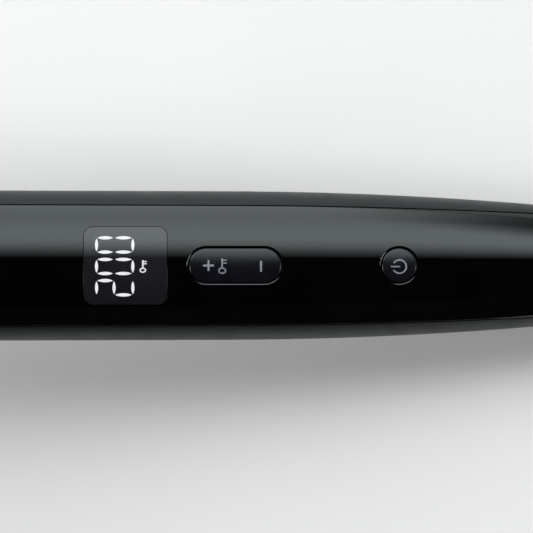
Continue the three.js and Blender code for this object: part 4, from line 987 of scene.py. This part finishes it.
softbox = upright_sheet("softbox", SOFTBOX_WIDTH, SOFTBOX_HEIGHT, (-0.05, 0.35, 0.975))
softbox.matrix_world = lay
silk, silk_shader = start_material("softbox silk", Base_Color=(0, 0, 0, 1), Roughness=1.0)
silk_shader.inputs["Specular IOR Level"].default_value = 0.0
silk_place = node(silk, "SeparateXYZ", {"Vector": node(silk, "TexCoord").outputs["Object"]})
fade = node(silk, "MapRange", {"Value": silk_place.outputs["Z"], "From Min": 0.0, "From Max": FADE_HEIGHT})
silk_ramp = node(silk, "ValToRGB", {"Fac": fade.outputs["Result"]})
stops = silk_ramp.color_ramp.elements
stops[0].position, stops[0].color = FADE[0][0] / FADE_HEIGHT, (1, 1, 1, 1)
stops[1].position, stops[1].color = FADE[-1][0] / FADE_HEIGHT, (0, 0, 0, 1)
for height, level in FADE[1:-1]:
    stops.new(height / FADE_HEIGHT).color = (level, level, level, 1)
edge_x = node(silk, "MapRange", {
    "Value": silk_place.outputs["Z"], "From Min": 0.12, "From Max": 1.12, "To Min": 0.172, "To Max": 0.572})
past_edge = node(silk, "Math", {
    0: silk_place.outputs["X"], 1: edge_x.outputs["Result"]}, operation="SUBTRACT")
edge_fade = node(silk, "MapRange", {
    "Value": past_edge.outputs[0], "From Min": -0.055, "From Max": 0.055, "To Min": 1.0, "To Max": 0.12},
    interpolation_type="SMOOTHSTEP")
low_fade = node(silk, "MapRange", {
    "Value": silk_place.outputs["Z"], "From Min": 0.1, "From Max": 0.36, "To Min": 0.8, "To Max": 1.0},
    interpolation_type="SMOOTHSTEP")
glow = silk_ramp.outputs["Color"]
for share in (edge_fade.outputs["Result"], low_fade.outputs["Result"], SOFTBOX_STRENGTH):
    shine = node(silk, "Math", {0: glow, 1: share}, operation="MULTIPLY")
    glow = shine.outputs[0]
silk.node_tree.links.new(glow, silk_shader.inputs["Emission Strength"])
silk_shader.inputs["Emission Color"].default_value = (0.88, 0.98, 1.0, 1.0)
softbox.data.materials.append(silk)


def fill_light(name, place, power, size, seen=True):
    data = bpy.data.lights.new(name, "AREA")
    data.energy = power
    data.size = size
    data.color = (0.9, 0.98, 1.0)
    light = bpy.data.objects.new(name, data)
    bpy.context.scene.collection.objects.link(light)
    light.location = place
    light.visible_glossy = seen
    light.rotation_euler = (-Vector(place)).to_track_quat("-Z", "Y").to_euler()


fill_light("fill_left", (-1.6, -0.35, 0.9), 17.0, 0.7)
fill_light("fill_right", (1.7, -0.35, 1.0), 12.0, 0.7)
fill_light("side_left", (-1.1, 0.5, 0.9), 6.0, 0.6, seen=False)
fill_light("side_right", (1.15, 0.78, 0.9), 12.5, 0.6, seen=False)

# A low black card along the other side keeps the table out of the gloss, and shows in reflections only.
card = upright_sheet("black_card", 0.7, 0.11, (0.08, -0.12, 0.055))
card.visible_diffuse = card.visible_shadow = False
card.data.materials.append(surface("black flocked card", "#050505", "#070707", 60, (0.85, 0.95), 2.0, 0.02))

LENS, SENSOR = 450.0, 36.0
VIEW_X, VIEW_Y, VIEW_WIDTH = 0.0979, -0.00024, 0.12792
camera_data = bpy.data.cameras.new("camera")
camera_data.lens = LENS
camera_data.sensor_width = SENSOR
camera_data.clip_end = 20.0
camera = bpy.data.objects.new("camera", camera_data)
bpy.context.scene.collection.objects.link(camera)
bpy.context.scene.camera = camera
camera_height = HALF_DEPTH * MM + VIEW_WIDTH * LENS / SENSOR
camera.matrix_world = lay @ Matrix.Translation((VIEW_X, VIEW_Y, camera_height))
